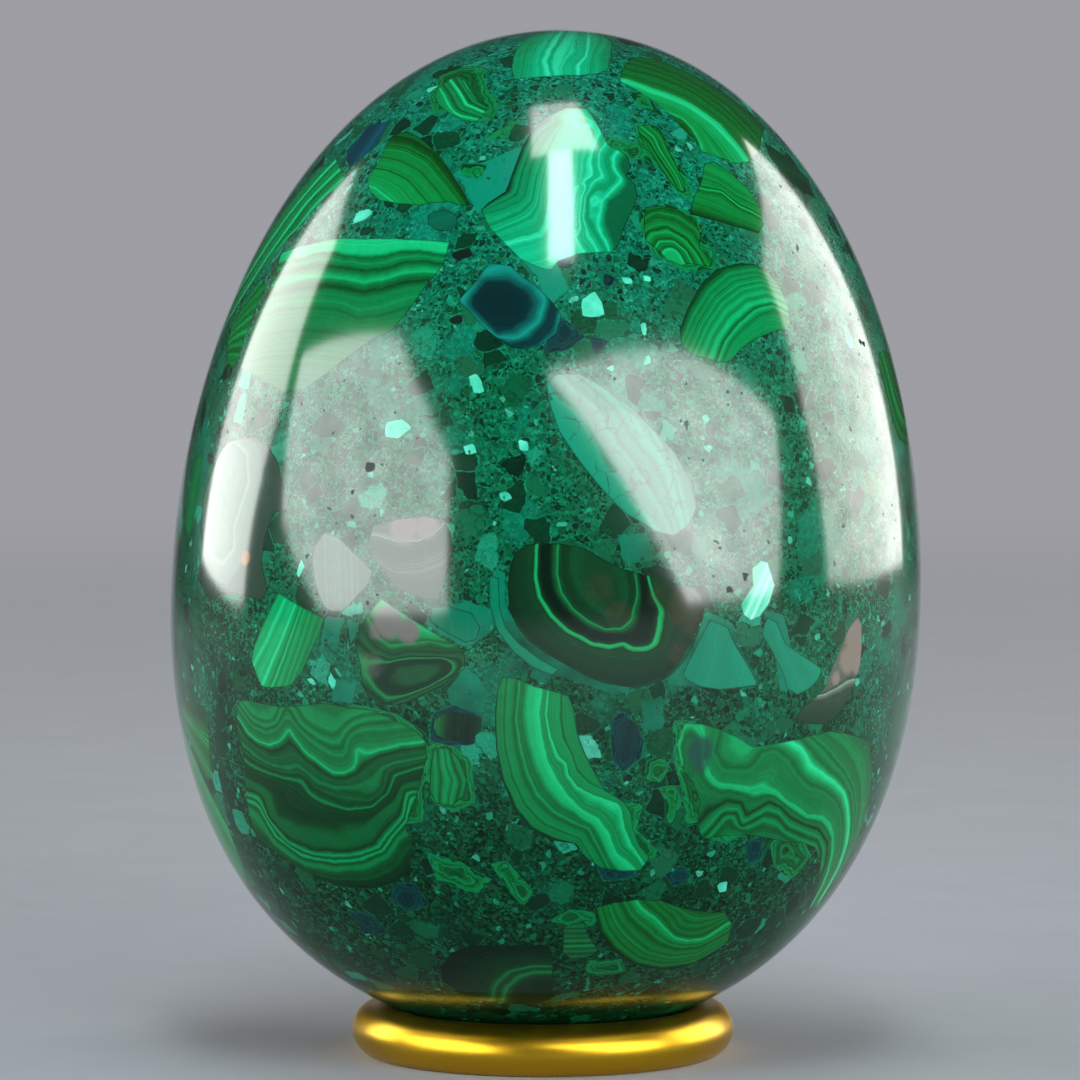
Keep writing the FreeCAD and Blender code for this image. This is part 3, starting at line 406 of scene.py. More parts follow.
# The bands of every stone: level, and points sideways and upward, as shares of
# the distance along the view from the egg's centre
BAND_SHARES: dict[str, Bands] = {
    "crest_slab_stone": Bands(View.UPPER, Palette.TURQUOISE, (
        (0, 120), (50, 600), (200, 620), (280, 700), (320, 820), (350, 660), (380, 980), (430, 720),
        (480, 950), (520, 750), (600, 700), (640, 1000), (670, 750), (780, 680), (800, 550), (840, 700),
        (1000, 500)), (
        (0, ((-135, 370), (-135, 500), (-120, 620), (-80, 750))),
        (200, ((-100, 370), (-95, 500), (-80, 620), (-50, 750))),
        (400, ((-45, 370), (-55, 450), (-45, 520), (-30, 620), (-20, 760))),
        (500, ((-20, 370), (-22, 420), (-8, 480), (-2, 550), (10, 620), (10, 760))),
        (650, ((18, 370), (20, 430), (35, 480), (40, 550), (45, 650), (40, 760))),
        (800, ((45, 380), (50, 500), (70, 620))),
        (1000, ((85, 380), (95, 500), (100, 620))))),
    "crown_stone": Bands(View.UPPER, Palette.TURQUOISE, (
        (0, 60), (50, 450), (80, 600), (110, 420), (160, 600), (200, 450), (240, 620), (300, 660),
        (330, 500), (360, 700), (450, 660), (500, 720), (520, 980), (540, 700), (600, 780), (760, 800),
        (800, 970), (820, 750), (860, 720), (880, 920), (900, 650), (935, 600), (945, 950), (960, 600),
        (1000, 350)), (
        (0, ((-200, 0), (-170, 20), (-130, 45), (-115, 100), (-98, 155), (-78, 200), (-45, 240),
             (0, 275))),
        (150, ((-210, -10), (-170, 3), (-130, 15), (-100, 30), (-90, 80), (-75, 140), (-50, 190),
               (-20, 220))),
        (300, ((-190, -35), (-140, -20), (-100, -5), (-75, 20), (-68, 70), (-55, 120), (-35, 170))),
        (450, ((-160, -60), (-110, -45), (-70, -30), (-55, 0), (-50, 50), (-40, 110))),
        (520, ((-135, -88), (-90, -78), (-50, -70), (-35, -40), (-30, 0))),
        (620, ((-100, -120), (-50, -105), (-20, -90), (-5, -40), (0, 50), (0, 150), (0, 250))),
        (750, ((20, -100), (25, -30), (30, 30), (35, 55), (30, 80), (30, 130), (40, 200))),
        (800, ((65, 200), (55, 165), (50, 120), (55, 85), (35, 65), (18, 30), (15, -20), (25, -70),
               (50, -110))),
        (880, ((85, 180), (70, 150), (70, 115), (80, 85), (60, 65), (45, 30), (42, -20), (55, -60),
               (80, -100))),
        (940, ((110, 170), (95, 140), (100, 110), (120, 85), (100, 55), (80, 25), (70, -10), (75, -45),
               (100, -90))),
        (1000, ((140, 150), (130, 120), (150, 85), (130, 45), (105, 20), (100, -20), (120, -70))))),
    "left_fan_stone": Bands(View.UPPER_LEFT, Palette.OLIVE, (
        (0, 100), (80, 420), (140, 160), (220, 280), (260, 450), (300, 350), (340, 550), (450, 500),
        (470, 380), (500, 580), (620, 550), (640, 400), (670, 600), (850, 620), (900, 680), (915, 950),
        (930, 650), (1000, 850)), (
        (0, ((-100, 600), (0, 575), (100, 530), (180, 475), (260, 405))),
        (250, ((-100, 545), (0, 530), (80, 500), (160, 450), (240, 395))),
        (500, ((-90, 490), (0, 475), (70, 450), (140, 410), (200, 370))),
        (750, ((-90, 440), (-30, 430), (40, 405), (100, 370), (140, 350))),
        (920, ((-90, 410), (-40, 395), (10, 370), (50, 350))),
        (1000, ((-90, 385), (-40, 360)))), streaks=44.0),
    "navy_stone": Bands(View.UPPER_LEFT, Palette.NAVY, (
        (0, 500), (400, 300), (700, 600), (1000, 400)), (
        (0, ((-240, 600), (-240, 500))),
        (1000, ((-100, 620), (-110, 500)))), contrast=0.3),
    "left_slab_stone": Bands(View.UPPER_LEFT, Palette.EMERALD, (
        (0, 860), (85, 840), (105, 400), (130, 600), (160, 340), (190, 550), (220, 800), (250, 520),
        (300, 240), (340, 520), (430, 560), (450, 360), (470, 520), (600, 500), (620, 380), (640, 480),
        (1000, 480)), (
        (0, ((-360, 262), (-200, 262), (-50, 262), (50, 260), (120, 275), (250, 298))),
        (100, ((-360, 215), (-200, 212), (-80, 218), (0, 208), (40, 205), (80, 215), (120, 232),
               (170, 245), (250, 252))),
        (220, ((-360, 160), (-200, 158), (-70, 155), (0, 150), (50, 145), (100, 160), (150, 185),
               (200, 200), (240, 205))),
        (300, ((-360, 130), (-200, 128), (-70, 130), (0, 125), (50, 120), (100, 132), (160, 160),
               (230, 178))),
        (450, ((-360, 75), (-100, 75), (0, 70), (60, 55), (120, 65), (200, 100))),
        (600, ((-380, 20), (-100, 25), (0, 20), (100, 5), (170, 30))),
        (800, ((-380, -60), (-200, -60), (0, -60), (80, -60))),
        (1000, ((-300, -140), (-50, -150)))), contrast=0.1),
    "left_rim_stone": Bands(View.UPPER_LEFT, Palette.EMERALD, (
        (0, 550), (150, 600), (240, 550), (280, 920), (330, 860), (370, 400), (450, 620), (550, 600),
        (590, 900), (620, 840), (660, 420), (780, 620), (830, 900), (870, 660), (1000, 500)), (
        (0, ((-340, 560), (-500, 420), (-700, 320))),
        (300, ((-265, 525), (-330, 450), (-430, 355), (-550, 270), (-750, 200))),
        (600, ((-215, 475), (-300, 400), (-370, 310), (-470, 220), (-600, 150))),
        (850, ((-170, 430), (-240, 370), (-290, 310))),
        (1000, ((-200, 360), (-300, 290), (-400, 200))))),
    "teal_nodule_stone": Bands(View.UPPER, Palette.NIGHT, (
        (0, 720), (80, 300), (200, 200), (300, 550), (400, 800), (500, 600), (580, 350), (620, 100),
        (1000, 50)), (
        (1000, ((-170, -220), (-130, -250))),
        (600, ((-215, -215), (-180, -180), (-130, -185), (-85, -215), (-75, -245), (-90, -280),
               (-130, -305), (-170, -295), (-200, -260))),
        (450, ((-240, -225), (-200, -165), (-130, -155), (-70, -190), (-45, -235), (-60, -285),
               (-110, -325), (-160, -325), (-200, -285))),
        (200, ((-20, -240), (-30, -290), (-70, -340), (-130, -355), (-190, -310))),
        (0, ((0, -260), (-10, -320), (-50, -355), (-100, -370)))), contrast=0.06, streaks=20.0),
    "right_crest_stone": Bands(View.UPPER, Palette.OLIVE, (
        (0, 300), (100, 420), (140, 280), (200, 420), (260, 300), (300, 450), (360, 320), (420, 460),
        (500, 380), (560, 500), (580, 850), (620, 950), (660, 750), (720, 660), (800, 580), (870, 600),
        (900, 820), (930, 400), (1000, 300)), (
        (0, ((130, 560), (300, 580), (450, 560), (540, 520))),
        (200, ((120, 500), (250, 510), (380, 500), (480, 450), (530, 400))),
        (400, ((110, 440), (200, 450), (300, 450), (400, 420), (470, 370), (500, 340))),
        (550, ((110, 410), (180, 405), (280, 410), (360, 390), (430, 345), (470, 310))),
        (620, ((120, 390), (180, 380), (270, 385), (340, 365), (400, 335), (450, 300))),
        (750, ((170, 350), (250, 350), (310, 335), (360, 305), (400, 270))),
        (900, ((215, 325), (260, 322), (285, 300), (305, 270), (310, 245))),
        (1000, ((240, 300), (265, 295), (285, 270))))),
    "right_shoulder_stone": Bands(View.UPPER, Palette.OLIVE, (
        (0, 40), (60, 200), (140, 420), (300, 500), (400, 520), (470, 380), (500, 750), (530, 400),
        (600, 580), (660, 400), (700, 600), (780, 450), (840, 600), (1000, 500)), (
        (0, ((290, 45), (350, 55), (420, 70), (510, 95))),
        (350, ((280, 100), (350, 110), (430, 115), (520, 130))),
        (500, ((280, 125), (330, 135), (370, 150), (430, 140), (520, 155))),
        (700, ((300, 165), (360, 175), (420, 170), (500, 185))),
        (1000, ((310, 225), (400, 235), (470, 220)))), streaks=24.0),
    "arch_stone": Bands(View.UPPER, Palette.OLIVE, (
        (0, 700), (80, 850), (140, 350), (300, 550), (340, 800), (380, 300), (500, 500), (560, 720),
        (620, 300), (720, 600), (780, 300), (860, 550), (930, 250), (1000, 450)), (
        (0, ((235, -90), (250, -65), (270, -65), (290, -90))),
        (350, ((205, -85), (225, -45), (260, -35), (295, -50), (320, -80))),
        (600, ((185, -60), (200, -30), (240, -10), (290, -20), (330, -50))),
        (800, ((175, -20), (210, 15), (260, 20), (310, 5), (350, -40))),
        (1000, ((175, 20), (220, 50), (270, 55), (320, 35)))), streaks=20.0),
    "wavy_wedge_stone": Bands(View.UPPER, Palette.OLIVE, (
        (0, 200), (200, 550), (300, 250), (420, 600), (500, 350), (600, 750), (680, 400), (850, 550),
        (1000, 300)), (
        (0, ((150, 200), (175, 185), (200, 150), (235, 110), (260, 90))),
        (500, ((155, 240), (185, 220), (200, 190), (225, 160), (250, 130), (265, 100))),
        (1000, ((180, 265), (210, 240), (235, 190), (260, 150), (285, 110)))), streaks=16.0),
    "right_fan_stone": Bands(View.UPPER_RIGHT, Palette.EMERALD, (
        (0, 100), (60, 250), (120, 450), (160, 600), (200, 450), (240, 620), (280, 470), (330, 660),
        (370, 500), (420, 700), (460, 500), (500, 680), (550, 720), (600, 500), (640, 750), (680, 800),
        (720, 400), (760, 780), (800, 450), (860, 620), (1000, 550)), (
        (0, ((-300, 90), (-250, 155), (-190, 205), (-120, 238), (-40, 248), (30, 235))),
        (200, ((-290, 55), (-240, 115), (-180, 170), (-110, 205), (-30, 215), (50, 190))),
        (400, ((-265, 30), (-220, 85), (-160, 140), (-90, 175), (-20, 185), (50, 165))),
        (600, ((-235, 15), (-200, 60), (-145, 110), (-80, 145), (-10, 155), (50, 135))),
        (750, ((-200, 5), (-170, 45), (-120, 85), (-60, 120), (0, 130), (50, 110))),
        (880, ((-170, 0), (-140, 35), (-90, 65), (-30, 90), (40, 85))),
        (1000, ((-130, 15), (-80, 40), (-20, 60), (30, 65)))), streaks=46.0),
    "cracked_panel_stone": Bands(View.FRONT, Palette.TEAL, (
        (0, 900), (30, 1000), (70, 620), (200, 500), (300, 700), (360, 400), (500, 640), (560, 400),
        (600, 700), (680, 900), (740, 500), (800, 800), (860, 500), (1000, 450)), (
        (0, ((-40, 480), (50, 370), (120, 260), (200, 150), (280, 70))),
        (500, ((30, 520), (150, 400), (240, 280), (300, 180), (340, 80))),
        (1000, ((130, 500), (250, 420), (350, 300), (400, 180), (400, 100)))),
        contrast=0.2, wobble=0.09, cracks=0.45),
    "dark_nodule_stone": Bands(View.FRONT, Palette.MOSS, (
        (0, 300), (40, 120), (200, 200), (360, 240), (440, 300), (470, 200), (490, 800), (515, 850),
        (530, 250), (560, 20), (640, 20), (670, 300), (700, 450), (720, 750), (740, 300), (800, 200),
        (880, 350), (1000, 300)), (
        (0, ((-100, 0), (-105, -80), (-90, -150), (-40, -210), (40, -260), (120, -300), (220, -330),
             (320, -310), (380, -240), (430, -150), (420, -90), (350, -55))),
        (300, ((-65, 10), (-65, -80), (-40, -140), (10, -195), (80, -240), (160, -265), (260, -275),
               (330, -240), (360, -170), (360, -110))),
        (500, ((-35, 20), (-32, -50), (-18, -100), (12, -145), (50, -178), (85, -195), (120, -215),
               (165, -220), (200, -212), (225, -228), (265, -228), (287, -215), (295, -170),
               (300, -130))),
        (600, ((-10, 20), (-8, -40), (8, -90), (35, -130), (75, -165), (120, -190), (170, -195),
               (220, -195), (255, -180), (260, -140))),
        (720, ((20, 15), (22, -40), (35, -85), (65, -125), (110, -158), (150, -175), (190, -172),
               (215, -150), (225, -110))),
        (850, ((50, 10), (55, -40), (75, -80), (110, -120), (150, -145), (190, -140), (205, -100))),
        (1000, ((100, -20), (120, -60), (150, -100), (180, -120)))),
        contrast=0.07, stain=(0.034, 0.038, 0.019),
        spots=((370, -120, 60, 700), (400, -170, 45, 600), (130, -70, 50, 400), (180, -130, 40, 500),
               (290, -90, 40, 400), (360, -240, 40, 500))),
    "pale_nodule_stone": Bands(View.LEFT, Palette.SHELL, (
        (0, 300), (160, 450), (240, 720), (500, 800), (580, 1000), (640, 750), (1000, 900)), (
        (0, ((-120, 260), (100, 320), (300, 220), (300, 0), (250, -200), (0, -220))),
        (200, ((-110, 120), (-80, 220), (30, 270), (160, 240), (200, 140), (170, 40), (160, -60),
               (80, -140), (-30, -120), (-70, -30))),
        (600, ((-70, 140), (-40, 210), (30, 240), (100, 210), (130, 140), (110, 70), (90, 20), (100, -40),
               (50, -80), (-10, -60), (-40, 0), (-50, 70))),
        (900, ((-20, 140), (0, 180), (40, 190), (70, 150), (50, 110), (0, 110))),
        (900, ((10, 0), (30, 30), (60, 0), (30, -30)))),
        contrast=0.08, stain=(0.36, 0.16, 0.08), spots=((160, -60, 18, 1000),)),
    "red_grey_nodule_stone": Bands(View.FRONT, Palette.UMBER, (
        (0, 400), (300, 350), (390, 720), (430, 300), (600, 200), (700, 300), (800, 420), (900, 150),
        (1000, 200)), (
        (0, ((-520, 80), (-400, 100), (-280, 100))),
        (400, ((-500, 30), (-420, 20), (-350, 25), (-300, 50), (-270, 80))),
        (700, ((-500, -20), (-420, -40), (-340, -30), (-280, 0), (-250, 50))),
        (1000, ((-460, -80), (-380, -120), (-280, -120)))),
        contrast=0.2, wobble=0.03, stain=(0.14, 0.11, 0.11),
        spots=((-400, 60, 45, 900), (-330, 65, 35, 800))),
    "pale_shard_stone": Bands(View.FRONT, Palette.SHELL, (
        (0, 620), (500, 720), (800, 660), (1000, 600)), (
        (0, ((-750, 0), (-720, -180))),
        (1000, ((-520, 0), (-500, -150)))), streaks=6.0, contrast=0.1),
    "striped_stone": Bands(View.LOWER_LEFT, Palette.EMERALD, (
        (0, 720), (100, 760), (140, 980), (170, 760), (360, 800), (390, 990), (420, 750), (500, 600),
        (530, 780), (580, 550), (620, 750), (680, 550), (720, 700), (780, 520), (840, 660), (900, 500),
        (1000, 620)), (
        (0, ((-75, 400), (-105, 330), (-150, 230))),
        (150, ((-22, 400), (-50, 345), (-90, 270), (-135, 205))),
        (400, ((15, 385), (-10, 330), (-45, 260), (-100, 160))),
        (700, ((60, 370), (35, 300), (0, 220), (-30, 160))),
        (1000, ((115, 355), (90, 300), (60, 240), (30, 190)))), streaks=26.0),
    "kidney_stone": Bands(View.FRONT, Palette.MOSS, (
        (0, 900), (200, 700), (280, 450), (300, 720), (360, 400), (450, 300), (500, 500), (540, 200),
        (600, 700), (640, 200), (750, 120), (850, 350), (1000, 420)), (
        (0, ((-460, -140), (-380, -175), (-300, -210))),
        (300, ((-500, -200), (-460, -250), (-420, -265), (-360, -250), (-300, -235), (-250, -240))),
        (500, ((-520, -260), (-480, -290), (-420, -300), (-360, -280), (-280, -270), (-220, -265))),
        (800, ((-420, -360), (-400, -320), (-330, -300), (-270, -290))),
        (1000, ((-360, -340), (-310, -320))),
        (550, ((-500, -400), (-430, -430), (-370, -400), (-300, -360), (-240, -320)))),
        contrast=0.08, stain=(0.15, 0.13, 0.135),
        spots=((-430, -200, 45, 1000), (-370, -215, 35, 900), (-470, -230, 30, 600),
               (-480, -330, 50, 350))),
    "left_scallop_stone": Bands(View.LOWER_LEFT, Palette.EMERALD, (
        (0, 450), (40, 600), (70, 400), (100, 620), (130, 360), (170, 580), (200, 420), (265, 500),
        (295, 820), (310, 500), (335, 200), (370, 360), (400, 280), (420, 560), (440, 260), (500, 280),
        (520, 540), (540, 250), (660, 120), (700, 360), (760, 400), (785, 160), (820, 660), (840, 300),
        (855, 720), (875, 340), (900, 550), (930, 300), (960, 260), (985, 60), (1000, 30)), (
        (20, ((-120, 90), (-90, 90))),
        (20, ((90, 100), (120, 90))),
        (150, ((-190, 80), (-150, 55), (-100, 45), (-60, 60), (-20, 100), (20, 65), (60, 40), (100, 20),
               (140, 20), (155, 50))),
        (300, ((-220, 65), (-200, 55), (-170, 30), (-130, 16), (-90, 16), (-50, 30), (-20, 60), (0, 40),
               (30, 10), (50, 0), (75, -15), (100, -30), (130, -32), (160, -20), (175, 0), (175, 20),
               (200, 12), (240, 20), (300, 30), (370, 30))),
        (420, ((-200, 0), (-140, -20), (-90, -30), (-40, -30), (0, -20), (20, -30), (50, -50), (100, -65),
               (150, -65), (200, -55), (240, -20), (280, -10), (360, -5))),
        (520, ((-170, -45), (-120, -50), (-50, -55), (0, -55), (20, -80), (60, -100), (120, -115),
               (190, -110), (240, -80), (270, -40), (330, -30))),
        (650, ((-60, -90), (-50, -120), (0, -130), (80, -140), (140, -135))),
        (700, ((-120, -100), (-100, -155), (-30, -175), (80, -178), (150, -160), (200, -130),
               (250, -100))),
        (790, ((-145, -120), (-130, -160), (-80, -205), (0, -220), (100, -215), (170, -200), (210, -165),
               (260, -130), (285, -80))),
        (860, ((-160, -150), (-120, -210), (-50, -240), (50, -245), (130, -235), (190, -215), (230, -180),
               (270, -150), (300, -100))),
        (930, ((-200, -200), (-130, -245), (-50, -270), (50, -275), (140, -265), (200, -240), (240, -200),
               (270, -190))),
        (1000, ((-200, -250), (-100, -285), (0, -305), (100, -315), (200, -305), (270, -250)))),
        streaks=30.0, contrast=0.12),
    "small_dark_stone": Bands(View.FRONT, Palette.MOSS, (
        (0, 600), (180, 400), (350, 100), (800, 50), (1000, 300)), (
        (0, ((-285, -410), (-290, -500))),
        (1000, ((-150, -410), (-160, -500)))), streaks=12.0),
    "small_wavy_stone": Bands(View.FRONT, Palette.EMERALD, (
        (0, 400), (150, 600), (250, 350), (400, 700), (500, 400), (600, 650), (750, 300), (900, 600),
        (1000, 400)), (
        (0, ((-300, -530), (-295, -600), (-300, -660), (-295, -710))),
        (500, ((-255, -530), (-250, -580), (-235, -620), (-245, -670), (-250, -710))),
        (1000, ((-225, -530), (-205, -580), (-190, -620), (-200, -680)))), streaks=14.0),
    "centre_arc_stone": Bands(View.LOWER, Palette.EMERALD, (
        (0, 120), (30, 500), (120, 520), (150, 400), (180, 560), (260, 500), (300, 360), (330, 600),
        (390, 400), (430, 580), (460, 740), (530, 800), (580, 900), (610, 580), (660, 600), (685, 750),
        (700, 920), (715, 550), (780, 600), (820, 620), (840, 420), (880, 560), (1000, 500)), (
        (0, ((-130, 620), (-125, 520), (-110, 430), (-85, 350), (-50, 280), (-10, 235), (40, 210),
             (90, 195))),
        (200, ((-95, 620), (-92, 520), (-80, 440), (-55, 360), (-25, 300), (20, 255), (60, 235),
               (100, 215), (120, 180))),
        (350, ((-65, 620), (-65, 520), (-50, 450), (-25, 370), (0, 320), (40, 280), (80, 255), (120, 235),
               (140, 190), (160, 140))),
        (450, ((-45, 620), (-45, 540), (-30, 460), (-5, 390), (20, 340), (55, 300), (90, 275))),
        (600, ((0, 620), (-5, 540), (5, 470), (20, 410), (45, 360), (70, 320), (100, 285), (140, 260),
               (165, 220), (180, 170))),
        (700, ((15, 620), (12, 540), (25, 470), (45, 420), (65, 400), (70, 370), (90, 340), (130, 315),
               (160, 300), (195, 275), (200, 230), (215, 180), (235, 145))),
        (820, ((45, 620), (45, 540), (55, 470), (75, 430), (90, 380), (120, 345), (160, 325),
               (200, 300))),
        (1000, ((85, 610), (90, 520), (105, 450), (130, 390), (160, 345), (210, 300)))),
        streaks=40.0, contrast=0.13),
    "right_scallop_stone": Bands(View.LOWER_RIGHT, Palette.EMERALD, (
        (0, 550), (80, 300), (120, 600), (180, 250), (220, 600), (270, 450), (300, 140), (330, 450),
        (380, 420), (410, 750), (425, 900), (445, 500), (500, 520), (530, 420), (560, 600), (590, 850),
        (620, 970), (650, 600), (680, 400), (710, 560), (740, 400), (770, 560), (810, 380), (850, 550),
        (900, 500), (950, 420), (1000, 300)), (
        (1000, ((270, 85), (350, 50), (400, -30), (435, -120), (450, -200), (445, -300))),
        (850, ((120, 110), (200, 70), (280, 10), (340, -60), (380, -140), (410, -220), (420, -300))),
        (720, ((50, 105), (100, 70), (160, 30), (230, -15), (290, -70), (340, -140), (380, -220),
               (400, -320))),
        (600, ((-40, 95), (0, 85), (50, 60), (85, 20), (130, 0), (190, -30), (245, -65), (285, -110),
               (325, -170), (355, -235), (372, -300), (365, -370))),
        (500, ((-30, 60), (10, 30), (50, -5), (100, -30), (160, -50), (210, -80), (260, -125),
               (300, -185), (330, -250), (340, -320))),
        (420, ((-50, -20), (0, -35), (30, -55), (80, -75), (120, -98), (180, -112), (220, -137),
               (255, -175), (283, -225), (305, -280))),
        (300, ((-210, -130), (-180, -85), (-140, -55), (-100, -58), (-75, -85), (-50, -70), (-20, -55),
               (20, -68), (60, -95), (120, -120), (180, -140), (240, -190), (270, -250))),
        (180, ((-160, -120), (-140, -85), (-105, -80), (-80, -110), (-50, -95), (-20, -80), (20, -90),
               (60, -120), (120, -145), (190, -170))),
        (80, ((-140, -130), (-120, -100), (-100, -115), (-60, -125), (-20, -110), (20, -120),
              (70, -145))),
        (340, ((-290, 60), (-270, 0), (-220, -40), (-180, -50))),
        (410, ((-315, 100), (-310, 50), (-290, 20))),
        (500, ((-220, 110), (-220, 50), (-170, 10), (-100, 15), (-70, 50))),
        (560, ((-180, 105), (-170, 60), (-130, 50), (-100, 75)))),
        streaks=34.0, contrast=0.13, stain=(0.01, 0.055, 0.045),
        spots=((-250, 55, 35, 850), (-240, 20, 25, 600))),
    "left_teal_stone": Bands(View.FRONT, Palette.TEAL, PLAIN_TONE_SHARES, (
        (0, ((450, -150), (400, -330))),
        (1000, ((560, -230), (600, -370)))), streaks=5.0, contrast=0.08, wobble=0.1),
    "right_teal_stone": Bands(View.LOWER_RIGHT, Palette.TEAL, PLAIN_TONE_SHARES, (
        (0, ((-120, 410), (0, 200))),
        (1000, ((-20, 330), (90, 250)))), streaks=5.0, contrast=0.1, wobble=0.1),
    "teal_triangle_stone": Bands(View.FRONT, Palette.TEAL, (
        (0, 500), (1000, 580)), (
        (0, ((-300, -150), (-280, -200))),
        (1000, ((-170, -150), (-170, -220)))), streaks=4.0, contrast=0.12, wobble=0.1),
    "teal_strip_stone": Bands(View.FRONT, Palette.TEAL, (
        (0, 600), (1000, 720)), (
        (0, ((-150, -50), (-120, -190), (0, -290))),
        (1000, ((-120, -60), (-90, -180), (30, -270)))), streaks=4.0, contrast=0.12, wobble=0.1),
    "leaf_shard_stone": Bands(View.LOWER_RIGHT, Palette.UMBER, (
        (0, 200), (200, 300), (340, 350), (400, 900), (420, 400), (440, 500), (500, 600), (1000, 600)), (
        (0, ((20, 130), (80, 120), (150, 120))),
        (450, ((100, 205), (150, 220), (200, 240), (250, 235))),
        (1000, ((200, 380), (280, 380)))),
        contrast=0.08, stain=(0.2, 0.17, 0.14),
        spots=((240, 340, 50, 1000), (200, 280, 35, 1000), (245, 270, 30, 1000), (150, 235, 18, 800))),
    "bottom_fan_stone": Bands(View.LOWER, Palette.OLIVE, (
        (0, 80), (50, 450), (100, 550), (140, 350), (180, 550), (230, 400), (270, 600), (310, 380),
        (360, 550), (420, 360), (460, 500), (520, 600), (545, 950), (565, 500), (600, 360), (650, 500),
        (700, 340), (750, 550), (800, 360), (860, 550), (920, 350), (1000, 450)), (
        (0, ((130, 40), (145, -30), (175, -90), (220, -150), (280, -195), (360, -225), (450, -210))),
        (350, ((170, 45), (190, -10), (220, -60), (255, -110), (310, -155), (370, -180), (450, -175))),
        (550, ((220, 45), (235, 15), (265, -20), (285, -55), (310, -95), (345, -125), (385, -140),
               (440, -130))),
        (750, ((265, 40), (290, 0), (315, -30), (330, -65), (370, -90), (420, -100), (460, -95))),
        (1000, ((310, 10), (350, -20), (390, -50), (440, -75)))), streaks=30.0),
    "bottom_arc_stone": Bands(View.LOWER, Palette.MOSS, (
        (0, 20), (300, 100), (500, 200), (620, 280), (680, 600), (740, 350), (800, 700), (860, 300),
        (1000, 120)), (
        (0, ((-190, -200), (-160, -110), (-100, -75), (0, -60), (50, -60))),
        (500, ((-120, -260), (-110, -190), (-70, -130), (0, -105), (50, -105))),
        (750, ((-60, -270), (-55, -210), (-30, -160), (10, -140), (50, -140))),
        (1000, ((-20, -270), (-10, -220), (20, -190), (50, -190)))), streaks=20.0, contrast=0.1),
    "small_striped_stone": Bands(View.LOWER, Palette.MOSS, FINE_TONE_SHARES, (
        (0, ((50, 5), (140, 0))),
        (1000, ((50, -110), (140, -115)))), streaks=10.0),
    "left_low_stone": Bands(View.LOWER_LEFT, Palette.EMERALD, (
        (0, 300), (60, 660), (200, 620), (300, 480), (500, 560), (800, 460), (1000, 500)), (
        (0, ((-750, -80), (-600, -110), (-500, -140), (-420, -200), (-360, -250))),
        (400, ((-750, -200), (-600, -220), (-500, -270), (-400, -350))),
        (1000, ((-700, -400), (-550, -500), (-450, -520)))), contrast=0.1),
    "left_waist_stone": Bands(View.LOWER_LEFT, Palette.OLIVE, (
        (0, 400), (200, 200), (350, 450), (500, 600), (600, 350), (800, 550), (1000, 400)), (
        (0, ((-620, 20), (-500, 35), (-380, 60))),
        (1000, ((-620, -110), (-500, -130), (-400, -170))))),
    "right_rim_stone": Bands(View.RIGHT, Palette.OLIVE, (
        (0, 300), (100, 600), (180, 300), (300, 550), (400, 700), (500, 350), (650, 550), (800, 300),
        (1000, 500)), (
        (0, ((170, 580), (175, 460), (190, 370), (240, 325), (340, 320), (500, 350))),
        (400, ((240, 600), (250, 480), (280, 410), (360, 385), (500, 410))),
        (1000, ((340, 600), (360, 520), (420, 470), (530, 470))))),
    "dark_rim_stone": Bands(View.UPPER_RIGHT, Palette.MOSS, (
        (0, 150), (500, 300), (1000, 100)), (
        (0, ((200, 640), (300, 640))),
        (1000, ((200, 500), (340, 500)))), streaks=8.0),
    "black_pebble_stone": Bands(View.FRONT, Palette.NIGHT, (
        (0, 300), (500, 120), (1000, 250)), (
        (0, ((190, -430), (180, -520))),
        (1000, ((270, -430), (260, -530)))), streaks=6.0),
    "mint_block_stone": Bands(View.FRONT, Palette.MINT, (
        (0, 400), (200, 800), (400, 600), (550, 900), (700, 550), (1000, 700)), (
        (0, ((560, -150), (660, 10))),
        (1000, ((640, -170), (710, -60)))), streaks=12.0),
    "left_edge_stone": Bands(View.LEFT, Palette.EMERALD, FINE_TONE_SHARES, (
        (0, ((-250, 190), (-260, 0))),
        (1000, ((-140, 200), (-150, -30)))), streaks=14.0),
    "left_shoulder_stone": Bands(View.UPPER_LEFT, Palette.OLIVE, FINE_TONE_SHARES, (
        (0, ((-600, 120), (-480, 170), (-380, 220))),
        (1000, ((-500, -40), (-400, -70)))), streaks=16.0),
    "left_crest_stone": Bands(View.UPPER, Palette.EMERALD, BOLD_TONE_SHARES, (
        (0, ((-320, 420), (-300, 340), (-260, 270), (-200, 240))),
        (500, ((-280, 460), (-250, 380), (-230, 320), (-190, 280))),
        (1000, ((-240, 480), (-220, 400), (-190, 330))))),
    "round_dark_stone": Bands(View.UPPER_LEFT, Palette.TEAL, (
        (0, 300), (500, 380), (1000, 300)), (
        (0, ((150, 340), (200, 370))),
        (1000, ((200, 300), (250, 330)))), streaks=4.0),
    "rear_scallop_stone": Bands(View.REAR, Palette.EMERALD, BOLD_TONE_SHARES, (
        (0, ((-520, 450), (-360, 440), (-200, 480), (-50, 440), (120, 380))),
        (350, ((-540, 330), (-440, 260), (-340, 280), (-260, 360), (-160, 280), (-40, 260), (40, 320),
               (140, 260))),
        (600, ((-540, 250), (-440, 170), (-330, 190), (-250, 270), (-140, 180), (-20, 170), (60, 220),
               (160, 170))),
        (1000, ((-540, 120), (-360, 30), (-200, 20), (-50, 60), (120, 60))))),
    "rear_nodule_stone": Bands(View.REAR, Palette.MOSS, DARK_TONE_SHARES, (
        (0, ((180, -100), (260, 0), (420, 30), (580, -70), (600, -200), (520, -350), (340, -380),
             (190, -250))),
        (500, ((260, -130), (340, -60), (450, -60), (520, -140), (500, -240), (420, -300), (320, -280),
               (260, -200))),
